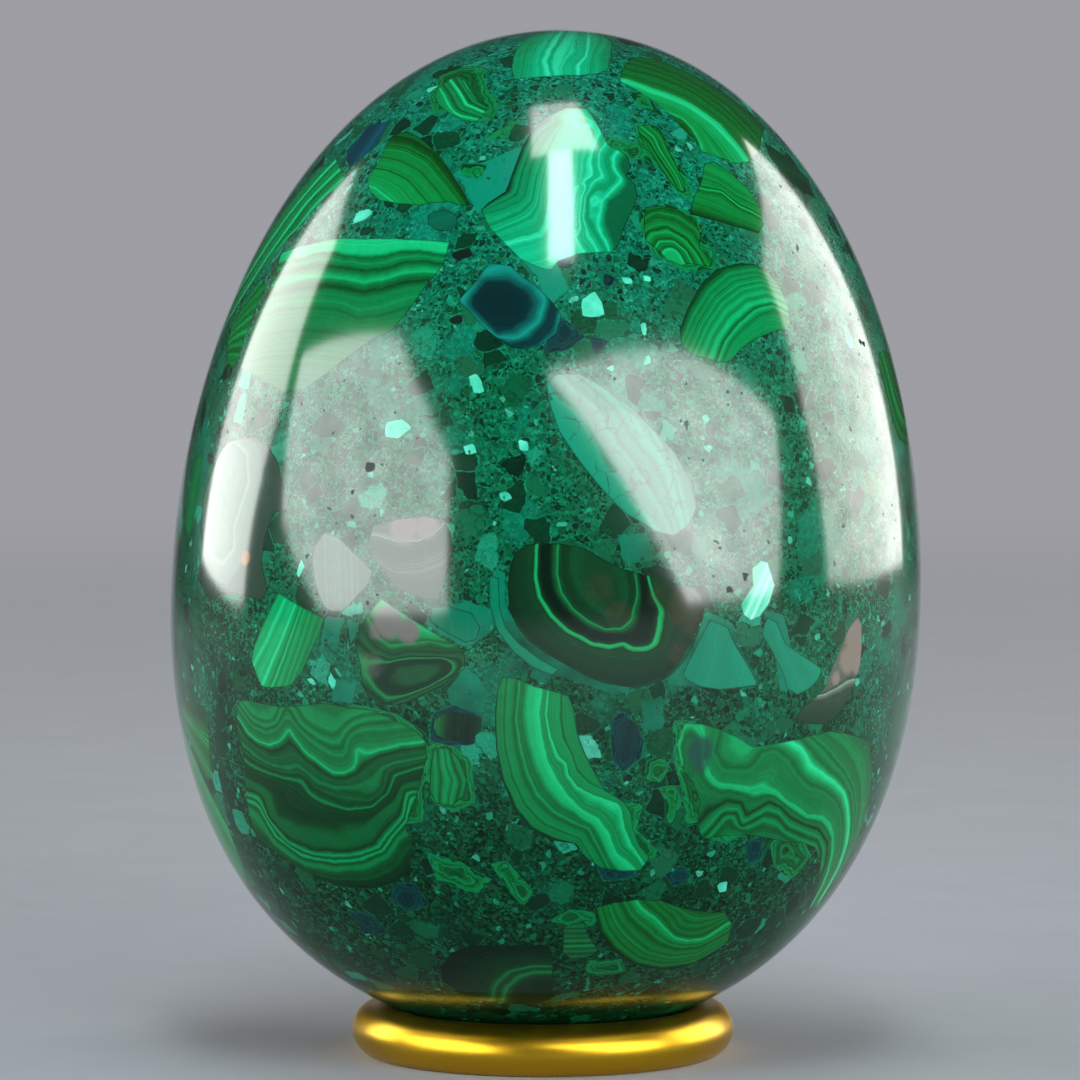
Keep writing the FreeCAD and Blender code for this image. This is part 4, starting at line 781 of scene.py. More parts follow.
        (1000, ((360, -160), (430, -160), (420, -200), (360, -200)))), wobble=0.07),
    "rear_slab_stone": Bands(View.REAR, Palette.TURQUOISE, BOLD_TONE_SHARES, (
        (0, ((-660, -80), (-450, -60), (-200, -100), (0, -140), (100, -160))),
        (500, ((-660, -220), (-450, -240), (-300, -200), (-120, -260), (100, -280))),
        (1000, ((-600, -420), (-400, -480), (-200, -460), (0, -480), (100, -430))))),
    "rear_shard_stone": Bands(View.REAR, Palette.SHELL, PLAIN_TONE_SHARES, (
        (0, ((260, 240), (280, 440))),
        (1000, ((500, 130), (540, 360)))), streaks=6.0, contrast=0.12),
    "rear_crown_stone": Bands(View.REAR_UPPER, Palette.EMERALD, FINE_TONE_SHARES, (
        (0, ((-500, -80), (-380, 80), (-240, 200), (-50, 260), (100, 220))),
        (500, ((-420, -140), (-300, -20), (-180, 80), (-40, 120), (120, 80))),
        (1000, ((-340, -220), (-200, -140), (-80, -100), (40, -140), (100, -200)))), streaks=44.0),
    "rear_fan_stone": Bands(View.REAR_UPPER, Palette.OLIVE, FINE_TONE_SHARES, (
        (0, ((160, 200), (220, 100), (220, -60), (280, -180))),
        (1000, ((260, 250), (320, 120), (380, -40), (440, -160)))), streaks=22.0),
    "rear_crest_stone": Bands(View.REAR_UPPER, Palette.TURQUOISE, BOLD_TONE_SHARES, (
        (0, ((-280, 420), (-100, 300), (100, 320))),
        (500, ((-260, 520), (-80, 420), (60, 420), (160, 400))),
        (1000, ((-200, 600), (-60, 580), (100, 560))))),
    "rear_low_stone": Bands(View.REAR_LOWER, Palette.EMERALD, BOLD_TONE_SHARES, (
        (0, ((-420, 140), (-280, 260), (-140, 220), (0, 280), (140, 240))),
        (500, ((-400, 0), (-280, 60), (-160, 30), (-40, 80), (140, 60))),
        (1000, ((-380, -100), (-220, -160), (-60, -160), (100, -160))))),
    "rear_teal_stone": Bands(View.REAR_LOWER, Palette.TEAL, PLAIN_TONE_SHARES, (
        (0, ((240, 160), (240, -20))),
        (1000, ((440, 140), (400, -80)))), streaks=5.0, wobble=0.1),
    "right_flank_stone": Bands(View.REAR_RIGHT, Palette.EMERALD, BOLD_TONE_SHARES, (
        (0, ((-380, 220), (-220, 380), (-40, 460), (160, 420), (280, 300))),
        (500, ((-320, 120), (-180, 240), (-20, 300), (120, 280), (240, 180))),
        (1000, ((-240, 0), (-100, 100), (40, 130), (160, 60)))), streaks=40.0),
    "right_haunch_stone": Bands(View.REAR_RIGHT, Palette.TURQUOISE, FINE_TONE_SHARES, (
        (0, ((-440, -80), (-260, -40), (-80, -80), (100, -80))),
        (500, ((-420, -200), (-260, -180), (-100, -240), (60, -200), (200, -220))),
        (1000, ((-360, -380), (-200, -420), (-40, -380), (100, -400)))), streaks=40.0),
    "left_flank_stone": Bands(View.REAR_LEFT, Palette.EMERALD, FINE_TONE_SHARES, (
        (0, ((-420, 200), (-300, 340), (-120, 400), (100, 460), (300, 360))),
        (500, ((-380, 100), (-260, 200), (-100, 220), (40, 280), (200, 240), (340, 200))),
        (1000, ((-260, 0), (-100, 20), (60, 0), (180, 60), (300, 80)))), streaks=46.0),
    "left_haunch_stone": Bands(View.REAR_LEFT, Palette.OLIVE, BOLD_TONE_SHARES, (
        (0, ((-360, -80), (-180, -50), (0, -80), (200, -100))),
        (500, ((-360, -220), (-200, -200), (-40, -260), (120, -220), (280, -260))),
        (1000, ((-300, -380), (-140, -420), (40, -400), (200, -380))))),
    "right_under_stone": Bands(View.REAR_LOWER_RIGHT, Palette.EMERALD, FINE_TONE_SHARES, (
        (0, ((-280, 120), (-100, 200), (100, 200), (260, 140))),
        (1000, ((-260, -60), (-60, -130), (140, -140), (280, -40)))), streaks=30.0),
    "right_upper_stone": Bands(View.REAR_UPPER_RIGHT, Palette.TURQUOISE, BOLD_TONE_SHARES, (
        (0, ((-240, 60), (-100, 200), (60, 220), (180, 100))),
        (1000, ((-200, -100), (-60, -60), (60, -100), (160, -40)))), streaks=26.0),
    "left_upper_stone": Bands(View.REAR_UPPER_LEFT, Palette.EMERALD, BOLD_TONE_SHARES, (
        (0, ((-200, 60), (-60, 200), (100, 180), (200, 60))),
        (1000, ((-120, -100), (20, -120), (140, -100)))), streaks=26.0),
}


class Chip(Enum):
    """Kinds of fragment that are drawn into the grit, by the attribute that holds them."""

    MINT = "mint"
    PIT = "pit"
    BANDED = "banded"
    DARK = "dark"
    BINDER = "binder"


# Outlines of the grit's fragments, by kind and view
CHIP_SHARES: dict[Chip, dict[View, tuple[tuple[Point, ...], ...]]] = {
    Chip.MINT: {
        View.FRONT: (
            ((-235, 460), (-210, 475), (-200, 445), (-225, 435)),
            ((-245, 285), (-215, 295), (-205, 265), (-235, 260)),
            ((-95, 305), (-70, 300), (-65, 275), (-90, 275)),
            ((-140, 160), (-110, 165), (-100, 145), (-125, 135)),
            ((-500, 370), (-440, 375), (-410, 345), (-450, 315), (-500, 325)),
            ((65, 700), (62, 760), (100, 800), (125, 760), (130, 710), (100, 700)),
            ((238, 705), (258, 705), (262, 665), (248, 655)),
            ((245, 555), (255, 590), (275, 590), (265, 565)),
            ((130, 530), (160, 545), (155, 520)),
            ((-655, -420), (-645, -385), (-620, -410), (-630, -450)),
            ((-760, -440), (-730, -430), (-705, -440), (-730, -455)),
            ((-830, -120), (-810, -55), (-785, -80), (-810, -120)),
        ),
        View.UPPER: (
            ((-560, 100), (-540, 130), (-500, 120), (-480, 100), (-510, 90)),
            ((-345, 470), (-305, 455), (-330, 435)),
            ((-245, -440), (-220, -430), (-205, -460), (-240, -470)),
            ((140, -155), (165, -155), (175, -170), (150, -170)),
            ((190, -140), (215, -140), (220, -155), (200, -155)),
        ),
        View.LOWER: (
            ((425, 15), (455, 10), (450, -20), (430, -15)),
        ),
    },
    Chip.PIT: {
        View.FRONT: (
            ((-560, 250), (-520, 245), (-520, 215), (-555, 220)),
            ((-610, 165), (-585, 165), (-590, 140)),
            ((35, 335), (55, 320), (60, 285), (45, 300)),
            ((115, 290), (130, 295), (140, 260), (125, 235)),
            ((175, 200), (190, 200), (200, 150), (185, 160)),
            ((560, -25), (590, -30), (580, -55), (565, -50)),
            ((500, -65), (530, -65), (530, -85), (505, -85)),
        ),
        View.UPPER: (
            ((645, 160), (660, 165), (670, 140), (655, 135)),
            ((-270, -90), (-220, -85), (-210, -110), (-260, -115)),
            ((-290, -265), (-250, -255), (-245, -280), (-280, -285)),
        ),
    },
    Chip.DARK: {
        View.FRONT: (
            ((0, 700), (75, 630), (30, 580), (-50, 560), (-30, 620)),
            ((85, 635), (145, 625), (120, 575), (100, 560)),
            ((175, -420), (205, -390), (245, -420), (275, -480), (270, -530), (225, -570), (190, -530)),
            ((-300, -510), (-290, -430), (-230, -395), (-165, -410), (-170, -500), (-240, -515)),
            ((-500, 20), (-520, -20), (-450, -60), (-480, -20)),
        ),
        View.LOWER: (
            ((-310, 30), (-260, 45), (-220, 0), (-270, -40), (-310, -20)),
            ((520, 100), (580, 90), (570, 20), (520, 30)),
            ((130, 150), (200, 130), (230, 100), (150, 100)),
            ((-420, -120), (-350, -90), (-310, -130), (-370, -170)),
            ((290, 90), (340, 100), (360, 60), (310, 50)),
        ),
        View.UPPER: (
            ((100, -150), (130, -160), (120, -190), (95, -180)),
        ),
    },
    Chip.BINDER: {
        View.FRONT: (
            ((-140, -40), (-110, -40), (-105, -120), (-70, -180), (0, -225), (80, -270), (160, -310),
             (260, -335), (180, -345), (100, -315), (20, -295), (20, -325), (-40, -300), (-20, -260),
             (-80, -220), (-135, -160)),
            ((435, -130), (530, -170), (580, -270), (660, -365), (500, -360), (440, -345), (330, -330),
             (330, -310), (380, -260), (410, -200)),
            ((650, -140), (750, -160), (800, -280), (870, -300), (870, -430), (760, -410), (720, -300),
             (680, -220)),
            ((-320, -190), (-280, -145), (-200, -120), (-130, -140), (-140, -200), (-200, -240),
             (-270, -215)),
            ((-170, -310), (-200, -290), (-250, -360), (-240, -400), (-150, -410), (-140, -350)),
            ((-670, -220), (-590, -210), (-610, -290), (-690, -310)),
            ((-580, -210), (-530, -220), (-560, -290)),
            ((-630, -400), (-540, -400), (-550, -460), (-640, -480)),
            ((90, 280), (110, 210), (140, 215), (180, 130), (250, 90), (240, 130), (190, 200), (150, 250),
             (120, 300)),
            ((-30, 490), (-20, 420), (10, 350), (40, 340), (30, 400), (0, 470)),
            ((170, 65), (250, 75), (280, 0), (190, -5)),
            ((260, -370), (320, -355), (330, -450), (270, -450)),
        ),
        View.UPPER: (
            ((-250, 125), (-180, 130), (-100, 160), (-75, 210), (-110, 90), (-140, 30), (-200, 0)),
            ((-120, -100), (-60, -170), (-30, -250), (20, -200), (-10, -140), (-80, -90)),
        ),
    },
    Chip.BANDED: {
        View.FRONT: (
            ((-410, -630), (-340, -610), (-310, -680), (-330, -790), (-410, -830), (-400, -700)),
            ((-310, -525), (-240, -505), (-180, -550), (-170, -680), (-240, -730), (-310, -700)),
            ((-560, -465), (-470, -455), (-400, -455), (-310, -490), (-290, -560), (-400, -580),
             (-500, -540)),
            ((285, -540), (330, -530), (360, -570), (340, -615), (295, -600)),
            ((330, -630), (390, -635), (415, -700), (400, -790), (370, -750), (360, -680)),
            ((355, -430), (430, -440), (410, -500), (400, -570), (460, -630), (515, -700), (510, -820),
             (440, -780), (420, -670), (370, -560)),
        ),
        View.LOWER: (
            ((400, 230), (500, 250), (570, 210), (620, 160), (560, 120), (460, 120), (400, 160)),
            ((600, 60), (710, 60), (770, -100), (680, -130), (610, -30)),
            ((100, 210), (200, 300), (250, 280), (230, 220), (290, 140), (200, 130), (120, 155)),
            ((-245, 135), (-210, 70), (-120, 60), (-90, 100), (-160, 130)),
            ((-100, 140), (-20, 40), (0, 80), (-60, 150)),
            ((30, 5), (80, 35), (140, 20), (130, -15)),
            ((115, -115), (190, -125), (200, -175), (115, -165)),
            ((-320, 400), (-290, 420), (-270, 300), (-300, 200), (-330, 240)),
        ),
        View.UPPER: (
            ((-330, 420), (-310, 330), (-240, 320), (-200, 265), (-165, 240), (-150, 300), (-185, 370),
             (-190, 460), (-240, 510), (-310, 510)),
            ((-190, 190), (-130, 225), (-105, 255), (-130, 185)),
            ((-240, 145), (-175, 120), (-190, 85), (-235, 105)),
            ((100, 180), (150, 195), (190, 170), (150, 145), (110, 155)),
            ((125, 355), (170, 360), (215, 300), (150, 310)),
            ((145, 250), (200, 265), (235, 200), (275, 150), (300, 90), (260, 85), (215, 135), (170, 155),
             (150, 200)),
            ((165, 15), (220, 55), (300, 55), (335, 30), (330, 0), (370, -20), (385, -70), (300, -105),
             (215, -85), (175, -30)),
            ((50, 130), (90, 200), (130, 190), (100, 120)),
        ),
        View.RIGHT: (
            ((-100, 220), (-50, 250), (20, 200), (-20, 140)),
        ),
        View.REAR: (
            ((-200, 120), (-100, 160), (20, 120), (-60, 20)),
        ),
        View.REAR_LEFT: (
            ((300, -20), (420, 40), (500, -50), (380, -120)),
        ),
        View.REAR_RIGHT: (
            ((-500, 120), (-420, 200), (-380, 100), (-460, 20)),
        ),
    },
}


@dataclass(frozen=True)
class BandField:
    """A smooth sheet of levels drawn through a stone's lines, like a bent thin plate."""

    bands: Bands
    spacing: float = 0.014
    slack: float = 1e-5
    least_gap: float = 1e-12
    over: float = 0.1
    block: int = 4000

    def sampled(self) -> tuple[np.ndarray, np.ndarray]:
        """Walk along every line.

        Returns:
            Evenly spaced points, and their levels.
        """
        points, levels = [], []
        for level, drawn in self.bands.lines:
            line = [(across / PER_SHARE, upward / PER_SHARE) for across, upward in drawn]
            level /= PER_SHARE
            for start, end in zip(line, line[1:]):
                steps = max(1, round(math.dist(start, end) / self.spacing))
                for step in range(steps):
                    share = step / steps
                    points.append([a + (b - a) * share for a, b in zip(start, end)])
                    levels.append(level)
            points.append(list(line[-1]))
            levels.append(level)
        return np.array(points), np.array(levels)

    def bend(self, places: np.ndarray, points: np.ndarray) -> np.ndarray:
        """Return how much each point bends the plate at each place."""
        gaps = ((places[:, None] - points[None]) ** 2).sum(axis=2)
        return gaps * np.log(gaps + self.least_gap) / 2

    def at(self, places: np.ndarray) -> np.ndarray:
        """Work out the level at places on the stone.

        Args:
            places: sideways and upward shares of each place.

        Returns:
            One level for each place.
        """
        points, levels = self.sampled()
        count = len(points)
        flat = np.column_stack([np.ones(count), points])
        plate = np.zeros((count + 3, count + 3))
        plate[:count, :count] = self.bend(points, points) + self.slack * np.eye(count)
        plate[:count, count:] = flat
        plate[count:, :count] = flat.T
        weights = np.linalg.lstsq(plate, np.append(levels, [0, 0, 0]), rcond=None)[0]
        found = np.empty(len(places))
        for start in range(0, len(places), self.block):
            part = places[start:start + self.block]
            rows = np.column_stack([self.bend(part, points), np.ones(len(part)), part])
            found[start:start + self.block] = rows @ weights
        return np.clip(found, -self.over, 1 + self.over)


class Value:
    """A shader number that can be added, multiplied and compared like any other."""

    def __init__(self, bench: "Bench", socket: Any) -> None:
        """Keep the bench it's laid on and the socket it comes from."""
        self.bench = bench
        self.socket = socket

    def __add__(self, other: Any) -> "Value":
        """Return the sum."""
        return self.bench.maths("ADD", self, other)

    __radd__ = __add__

    def __sub__(self, other: Any) -> "Value":
        """Return the difference."""
        return self.bench.maths("SUBTRACT", self, other)

    def __rsub__(self, other: Any) -> "Value":
        """Return the difference the other way round."""
        return self.bench.maths("SUBTRACT", other, self)

    def __mul__(self, other: Any) -> "Value":
        """Return the product."""
        return self.bench.maths("MULTIPLY", self, other)

    __rmul__ = __mul__

    def __truediv__(self, other: Any) -> "Value":
        """Return the quotient."""
        return self.bench.maths("DIVIDE", self, other)

    def __gt__(self, other: Any) -> "Value":
        """Return 1 where this value is the greater."""
        return self.bench.maths("GREATER_THAN", self, other)

    def held(self) -> "Value":
        """Return the value held between 0 and 1."""
        return self.bench.maths("ADD", self, 0.0, clamp=True)

    def eased(self, low: float, high: float) -> "Value":
        """Lay a smooth step over the value.

        Args:
            low: where the step starts, at 0.
            high: where the step ends, at 1.

        Returns:
            The step.
        """
        node = self.bench.node(
            "ShaderNodeMapRange", {"interpolation_type": "SMOOTHSTEP"},
            {0: self, 1: low, 2: high, 3: 0.0, 4: 1.0})
        return Value(self.bench, node.outputs[0])


class Bench:
    """Lays out the nodes of one material, or of the room."""

    def __init__(self, name: str, store: Any = None) -> None:
        """Start with nothing on the bench.

        Args:
            name: the material's name.
            store: where it's kept, if not with the materials.
        """
        self.owner = (bpy.data.materials if store is None else store).new(name)
        self.owner.use_nodes = True
        self.tree = self.owner.node_tree
        self.tree.nodes.clear()

    def node(self, kind: str, settings: dict[str, Any] | None = None,
             sockets: dict[Any, Any] | None = None) -> Any:
        """Make one node.

        Args:
            kind: the node's type.
            settings: its own settings; "stops" fills a ramp.
            sockets: numbers, values or links for its inputs.

        Returns:
            The new node.
        """
        made = self.tree.nodes.new(kind)
        for name, setting in (settings or {}).items():
            if name == "stops":
                self._fill(made.color_ramp, setting)
            else:
                setattr(made, name, setting)
        for name, given in (sockets or {}).items():
            if isinstance(given, Value):
                given = given.socket
            if isinstance(given, bpy.types.NodeSocket):
                self.tree.links.new(given, made.inputs[name])
            else:
                made.inputs[name].default_value = given
        return made

    @staticmethod
    def _fill(ramp: Any, stops: Stops) -> None:
        """Give a ramp its stops.

        Args:
            ramp: the node's ramp.
            stops: positions in order, each with a colour or a shade of grey.
        """
        while len(ramp.elements) < len(stops):
            ramp.elements.new(1.0)
        for element, (position, colour) in zip(ramp.elements, stops):
            element.position = position
            element.color = (*colour, 1.0) if isinstance(colour, tuple) else (colour,) * 3 + (1.0,)

    def maths(self, operation: str, *inputs: Any, clamp: bool = False) -> Value:
        """Lay one Math node over numbers or values.

        Args:
            operation: what the node does.
            inputs: the numbers or values, in order.
            clamp: whether the result is held between 0 and 1.

        Returns:
            The result.
        """
        made = self.node(
            "ShaderNodeMath", {"operation": operation, "use_clamp": clamp},
            dict(enumerate(inputs)))
        return Value(self, made.outputs[0])

    def vector(self, operation: str, sockets: dict[Any, Any]) -> Any:
        """Return what one Vector Math node makes of its inputs."""
        return self.node("ShaderNodeVectorMath", {"operation": operation}, sockets).outputs[0]

    def part(self, vector: Any, axis: str) -> Value:
        """Return a vector's part along an axis."""
        return Value(self, self.node("ShaderNodeSeparateXYZ", None, {0: vector}).outputs[axis])

    @cached_property
    def place(self) -> Any:
        """The place on the object."""
        found = self.node("ShaderNodeTexCoord").outputs["Object"]
        return self.vector("SCALE", {0: found, "Scale": 1 / MM})

    def drawn(self, name: str) -> Value:
        """Return an attribute drawn on the mesh."""
        found = self.node("ShaderNodeAttribute", {"attribute_name": name})
        return Value(self, found.outputs["Fac"])

    def noise(self, scale: float, detail: float = 2.0, rough: float = 0.5) -> Value:
        """Lay noise over the object.

        Args:
            scale: how many waves go to a millimetre.
            detail: how many finer waves ride on them.
            rough: how strong the finer waves are.

        Returns:
            Noise about 0.
        """
        made = self.node("ShaderNodeTexNoise", None, {
            "Vector": self.place, "Scale": scale, "Detail": detail, "Roughness": rough})
        return Value(self, made.outputs[0]) - 0.5

    def streak(self, along: Value, scale: float) -> Value:
        """Lay noise along one value only.

        Args:
            along: the value.
            scale: how many waves go to 1 of it.

        Returns:
            Noise about 0.
        """
        made = self.node("ShaderNodeTexNoise", {"noise_dimensions": "1D"}, {
            "W": along, "Scale": scale, "Detail": 1.0, "Roughness": 0.5})
        return Value(self, made.outputs[0]) - 0.5

    def grains(self, place: Any, scale: float) -> tuple[Value, Value]:
        """Fill a place with grains.

        Args:
            place: the place on the object, pushed about.
            scale: how many grains go to a millimetre.

        Returns:
            Each grain's own number, and the distance from its edge.
        """
        cell = self.node("ShaderNodeTexVoronoi", None, {"Vector": place, "Scale": scale})
        split = self.node("ShaderNodeSeparateColor", None, {0: cell.outputs["Color"]})
        edge = self.node("ShaderNodeTexVoronoi", {"feature": "DISTANCE_TO_EDGE"},
                         {"Vector": place, "Scale": scale})
        return Value(self, split.outputs[0]), Value(self, edge.outputs[0])

    def ramp(self, along: Value, stops: Stops) -> Any:
        """Return the colour that a ramp gives along a value."""
        return self.node("ShaderNodeValToRGB", {"stops": stops}, {0: along}).outputs[0]

    def blend(self, share: Any, first: Any, second: Any) -> Any:
        """Mix one colour into another.

        Args:
            share: how much of the second shows.
            first: a colour or a link.
            second: another.

        Returns:
            The mixed colour.
        """
        first, second = (
            (*given, 1.0) if isinstance(given, tuple) else given for given in (first, second))
        return self.node("ShaderNodeMix", {"data_type": "RGBA"},
                         {0: share, 6: first, 7: second}).outputs[2]

    def shift(self, scale: float, reach: float) -> Any:
        """Push the place on the object about by noise.

        Args:
            scale: how many waves go to a millimetre.
            reach: how far it's pushed, at most.

        Returns:
            The pushed place.
        """
        noise = self.node("ShaderNodeTexNoise", None, {
            "Vector": self.place, "Scale": scale, "Detail": 2.0})
        centred = self.vector("SUBTRACT", {0: noise.outputs["Color"], 1: (0.5, 0.5, 0.5)})
        grown = self.vector("SCALE", {0: centred, "Scale": reach * 2})
        return self.vector("ADD", {0: self.place, 1: grown})

    def bump(self, height: Value, depth: float) -> Any:
        """Return the normal of a surface that rises by a height times depth metres."""
        return self.node("ShaderNodeBump", None, {
            "Strength": 1.0, "Distance": depth, "Height": height}).outputs[0]

    def finish(self, **sockets: Any) -> Any:
        """Close the material with one shader.

        Args:
            sockets: the shader's inputs, with _ for a space.

        Returns:
            The material.
        """
        shader = self.node("ShaderNodeBsdfPrincipled", None,
                           {name.replace("_", " "): given for name, given in sockets.items()})
        self.node("ShaderNodeOutputMaterial", None, {0: shader.outputs[0]})
        return self.owner


@dataclass(frozen=True)
class Polish:
    """The polish of the stones and the grit.

    The stone itself shines weakly through a clear film.  The film thins out
    below the egg's waist, where it would mirror the pale table.
    """

    film_roughness: float
    ior: float = 1.24
    tint: Colour = (0.6, 1.0, 0.85)
    film_ior: float = 1.67
    thin_up_to: float = 22.0
    full_from: float = 54.0
    thinnest: float = 0.04

    def film(self, bench: Bench) -> Value:
        """Return how deep the film is, from the thinnest to 1."""
        deep = bench.part(bench.place, "Z").eased(self.thin_up_to, self.full_from)
        return deep * (1 - self.thinnest) + self.thinnest

    def finish(self, bench: Bench, film: Value, **sockets: Any) -> Any:
        """Close a material that has this polish.

        Args:
            bench: the material's bench.
            film: how deep the film is.
            sockets: the shader's other inputs.

        Returns:
            The material.
        """
        return bench.finish(
            IOR=self.ior, Specular_Tint=(*self.tint, 1.0), Coat_Weight=film,
            Coat_Roughness=self.film_roughness, Coat_IOR=self.film_ior, **sockets)


@dataclass(frozen=True)
class BandedStone:
    """A polished banded stone."""

    bands: Bands
    polish: Polish = Polish(film_roughness=0.10)
    roughness: float = 0.07
    relief: float = 0.0000015
    seam: Colour = (0.002, 0.018, 0.009)
    crack: Colour = (0.001, 0.030, 0.022)

    def material(self, name: str) -> Any:
        """Lay out the stone's material.

        Args:
            name: the material's name.

        Returns:
            The material, which reads the mesh's band, rim and spot.
        """
        bands = self.bands
        bench = Bench(name)
        colour = bench.ramp(self._tone(bench), bands.palette.value)
        if bands.spots:
            stained = bench.drawn("spot") + bench.noise(0.9, 3.0) * 0.35
            colour = bench.blend(stained.eased(0.15, 0.75) * 0.9, colour, bands.stain)
        seam = 1 - (bench.drawn("rim") + bench.noise(2.0) * 0.12).eased(0.03, 0.16)
        colour = bench.blend(seam * 0.75, colour, self.seam)
        height = bench.noise(3.0, 3.0)
        if bands.cracks:
            _, edge = bench.grains(bench.shift(0.5, 1.4), bands.cracks)
            broken = (1 - edge.eased(0.0, 0.06)) * bench.noise(0.4, 3.0).eased(-0.1, 0.1)
            colour = bench.blend(broken * 0.8, colour, self.crack)
            height = height - broken * 1.5
        scuffs = bench.noise(0.5, 5.0, 0.65)
        return self.polish.finish(
            bench, self.polish.film(bench), Base_Color=colour,
            Roughness=scuffs * 0.04 + self.roughness, Normal=bench.bump(height, self.relief))

    def _tone(self, bench: Bench) -> Value:
        """Lay out how light the stone is: its drawn bands, fine lines and clouds.

        Args:
            bench: the material's bench.

        Returns:
            The tone, from the palette's darkest at 0 to its lightest at 1.
        """
        bands = self.bands
        band = (bench.drawn("band") + bench.noise(0.22, 3.0) * (bands.wobble * 3)
                + bench.noise(1.3) * bands.wobble).held()
        lines = (bench.streak(band, bands.streaks) * (bands.contrast * 1.6)
                 + bench.streak(band, bands.streaks * 3.1) * (bands.contrast * 1.1))
        cloud = bench.noise(0.9, 4.0) * 0.10 + bench.noise(5.0) * 0.07
        tone = Value(bench, bench.ramp(band, bands.stops()))
        return (tone + lines + cloud).held()


@dataclass(frozen=True)
class GritMatrix:
    """The polished bonded grit between the stones."""

    polish: Polish = Polish(film_roughness=0.11)
    roughness: float = 0.07
    relief: float = 0.000006
    crumb_rim: Colour = (0.010, 0.200, 0.110)
    stripe: Colour = (0.001, 0.022, 0.009)
    chip_rim: Colour = (0.003, 0.130, 0.070)
    # Near-black painted shade for the inside of the pits
    pit: Colour = (0.001, 0.008, 0.005)

    def material(self, name: str) -> Any:
        """Lay out the grit's material.

        Args:
            name: the material's name.

        Returns:
            The material, which reads the mesh's zone and one attribute for
            each kind of fragment.
        """
        bench = Bench(name)
        fine, fine_edge = bench.grains(bench.shift(2.8, 0.10), 3.7)
        zone = (bench.drawn("zone") + bench.noise(0.10) * 0.8).held()
        cloud = bench.noise(0.35, 3.0)
        jag = bench.noise(1.1, 3.0) * 0.5
        binder = bench.ramp((zone + cloud * 0.4).held(), Palette.BINDER.value)
        colour = self._ground(bench, zone, (fine * 0.92 + cloud * 0.4).held())
        colour, crumb = self._crumbs(bench, cloud, colour)
        calm = bench.noise(0.16).eased(0.04, 0.16)
        colour = bench.blend(calm * crumb.eased(1.0, 0.0) * 0.5, colour, binder)
        filled = (bench.drawn(Chip.BINDER.value) + jag).eased(-0.04, 0.10)
        specks = bench.noise(2.6, 4.0) * 0.5
        colour = bench.blend((filled * (0.92 + specks)).held(), colour, binder)
        colour = self._chips(bench, jag, colour)
        # Where the pits lie: they sink a little and lose their polish, and their colour is painted shade
        dark = self._pits_and_painted_shade(bench)
        height = fine_edge.eased(0.0, 0.10) * 0.6 - dark * 3.0
        rough = cloud * 0.12 + dark * 0.3 + self.roughness + fine * 0.05
        film = self.polish.film(bench) * (1 - dark * 0.8) * (cloud * 0.9 + 0.85).held()
        # The pits are painted near black: painted shade in the recesses
        return self.polish.finish(
            bench, film, Base_Color=bench.blend(dark, colour, self.pit),
            Roughness=rough.held(), Normal=bench.bump(height, self.relief))

    @staticmethod
    def _ground(bench: Bench, zone: Value, speck: Value) -> Any:
        """Lay the finest grains, darker and greener towards the egg's foot.

        Args:
            bench: the material's bench.
            zone: the share of the way up the egg.
            speck: each grain's own shade.

        Returns:
            The colour.
        """
        low, green, teal = (
            bench.ramp(speck, palette.value)
            for palette in (Palette.GRIT_LOW, Palette.GRIT_GREEN, Palette.GRIT_TEAL))
        colour = bench.blend((zone * 2.2).held(), low, green)
        return bench.blend((zone * 2.0 - 1.0).held(), colour, teal)

    def _crumbs(self, bench: Bench, cloud: Value, colour: Any) -> tuple[Any, Value]:
        """Lay middling and coarse crumbs on the ground.

        Args:
            bench: the material's bench.
            cloud: broad noise.
            colour: the ground's colour.

        Returns:
            The colour, and where a coarse crumb lies.
        """
        bent = bench.shift(0.7, 0.45)
        for scale, least, width in ((1.5, 0.70, 0.10), (0.42, 0.80, 0.05)):
            number, edge = bench.grains(bent, scale)
            crumb = bench.ramp(bench.maths("FRACT", number * 7.3), Palette.CRUMB.value)
            stripes = bench.streak(number * 9.0 + cloud * 3.0, 9.0)
            crumb = bench.blend((stripes * 1.2 + 0.2).held(), crumb, self.stripe)
            body = (number > least) * edge.eased(width * 0.4, width)
            line = (number > least) * (1 - edge.eased(0.0, width * 0.6))
            colour = bench.blend(line * 0.30, colour, self.crumb_rim)
            colour = bench.blend(body * 0.92, colour, crumb)
        return colour, body

    def _chips(self, bench: Bench, jag: Value, colour: Any) -> Any:
        """Lay the drawn fragments on the grit.

        Args:
            bench: the material's bench.
            jag: noise that makes their outlines jagged.
            colour: the colour under them.

        Returns:
            The colour.
        """
        for kind, palette, light in ((Chip.BANDED, Palette.EMERALD, 0.38),
                                     (Chip.DARK, Palette.NIGHT, 0.22)):
            inner = bench.drawn(kind.value) + jag * 0.6
            rings = bench.streak(inner + bench.noise(0.35, 3.0) * 3.4, 2.2) * 1.1
            tone = rings + bench.streak(inner, 5.0) * 0.4 + light
            colour = bench.blend(inner.eased(-0.02, 0.05), colour,
                                 bench.ramp(tone.held(), palette.value))
            edge = inner.eased(-0.12, 0.0) * (1 - inner.eased(0.02, 0.14))
            colour = bench.blend(edge * 0.30, colour, self.chip_rim)
        mint = bench.drawn(Chip.MINT.value) + jag * 0.45
        shade = bench.ramp((bench.noise(0.7) + 0.5).held(), Palette.MINT_CHIP.value)
        return bench.blend(mint.eased(-0.03, 0.05) * 0.92, colour, shade)

    @staticmethod
    def _pits_and_painted_shade(bench: Bench) -> Value:
        """Lay out the drawn pits and the small scattered ones, which the grit paints near black as
        painted shade.

        Args:
            bench: the material's bench.

        Returns:
            How much of a pit each place is.
        """
        pit = bench.drawn(Chip.PIT.value) + bench.noise(2.6, 3.0) * 0.25
        holes = bench.noise(1.15, 1.0).eased(0.235, 0.25)
        return bench.maths("MAXIMUM", pit.eased(-0.02, 0.06), holes * 0.8)


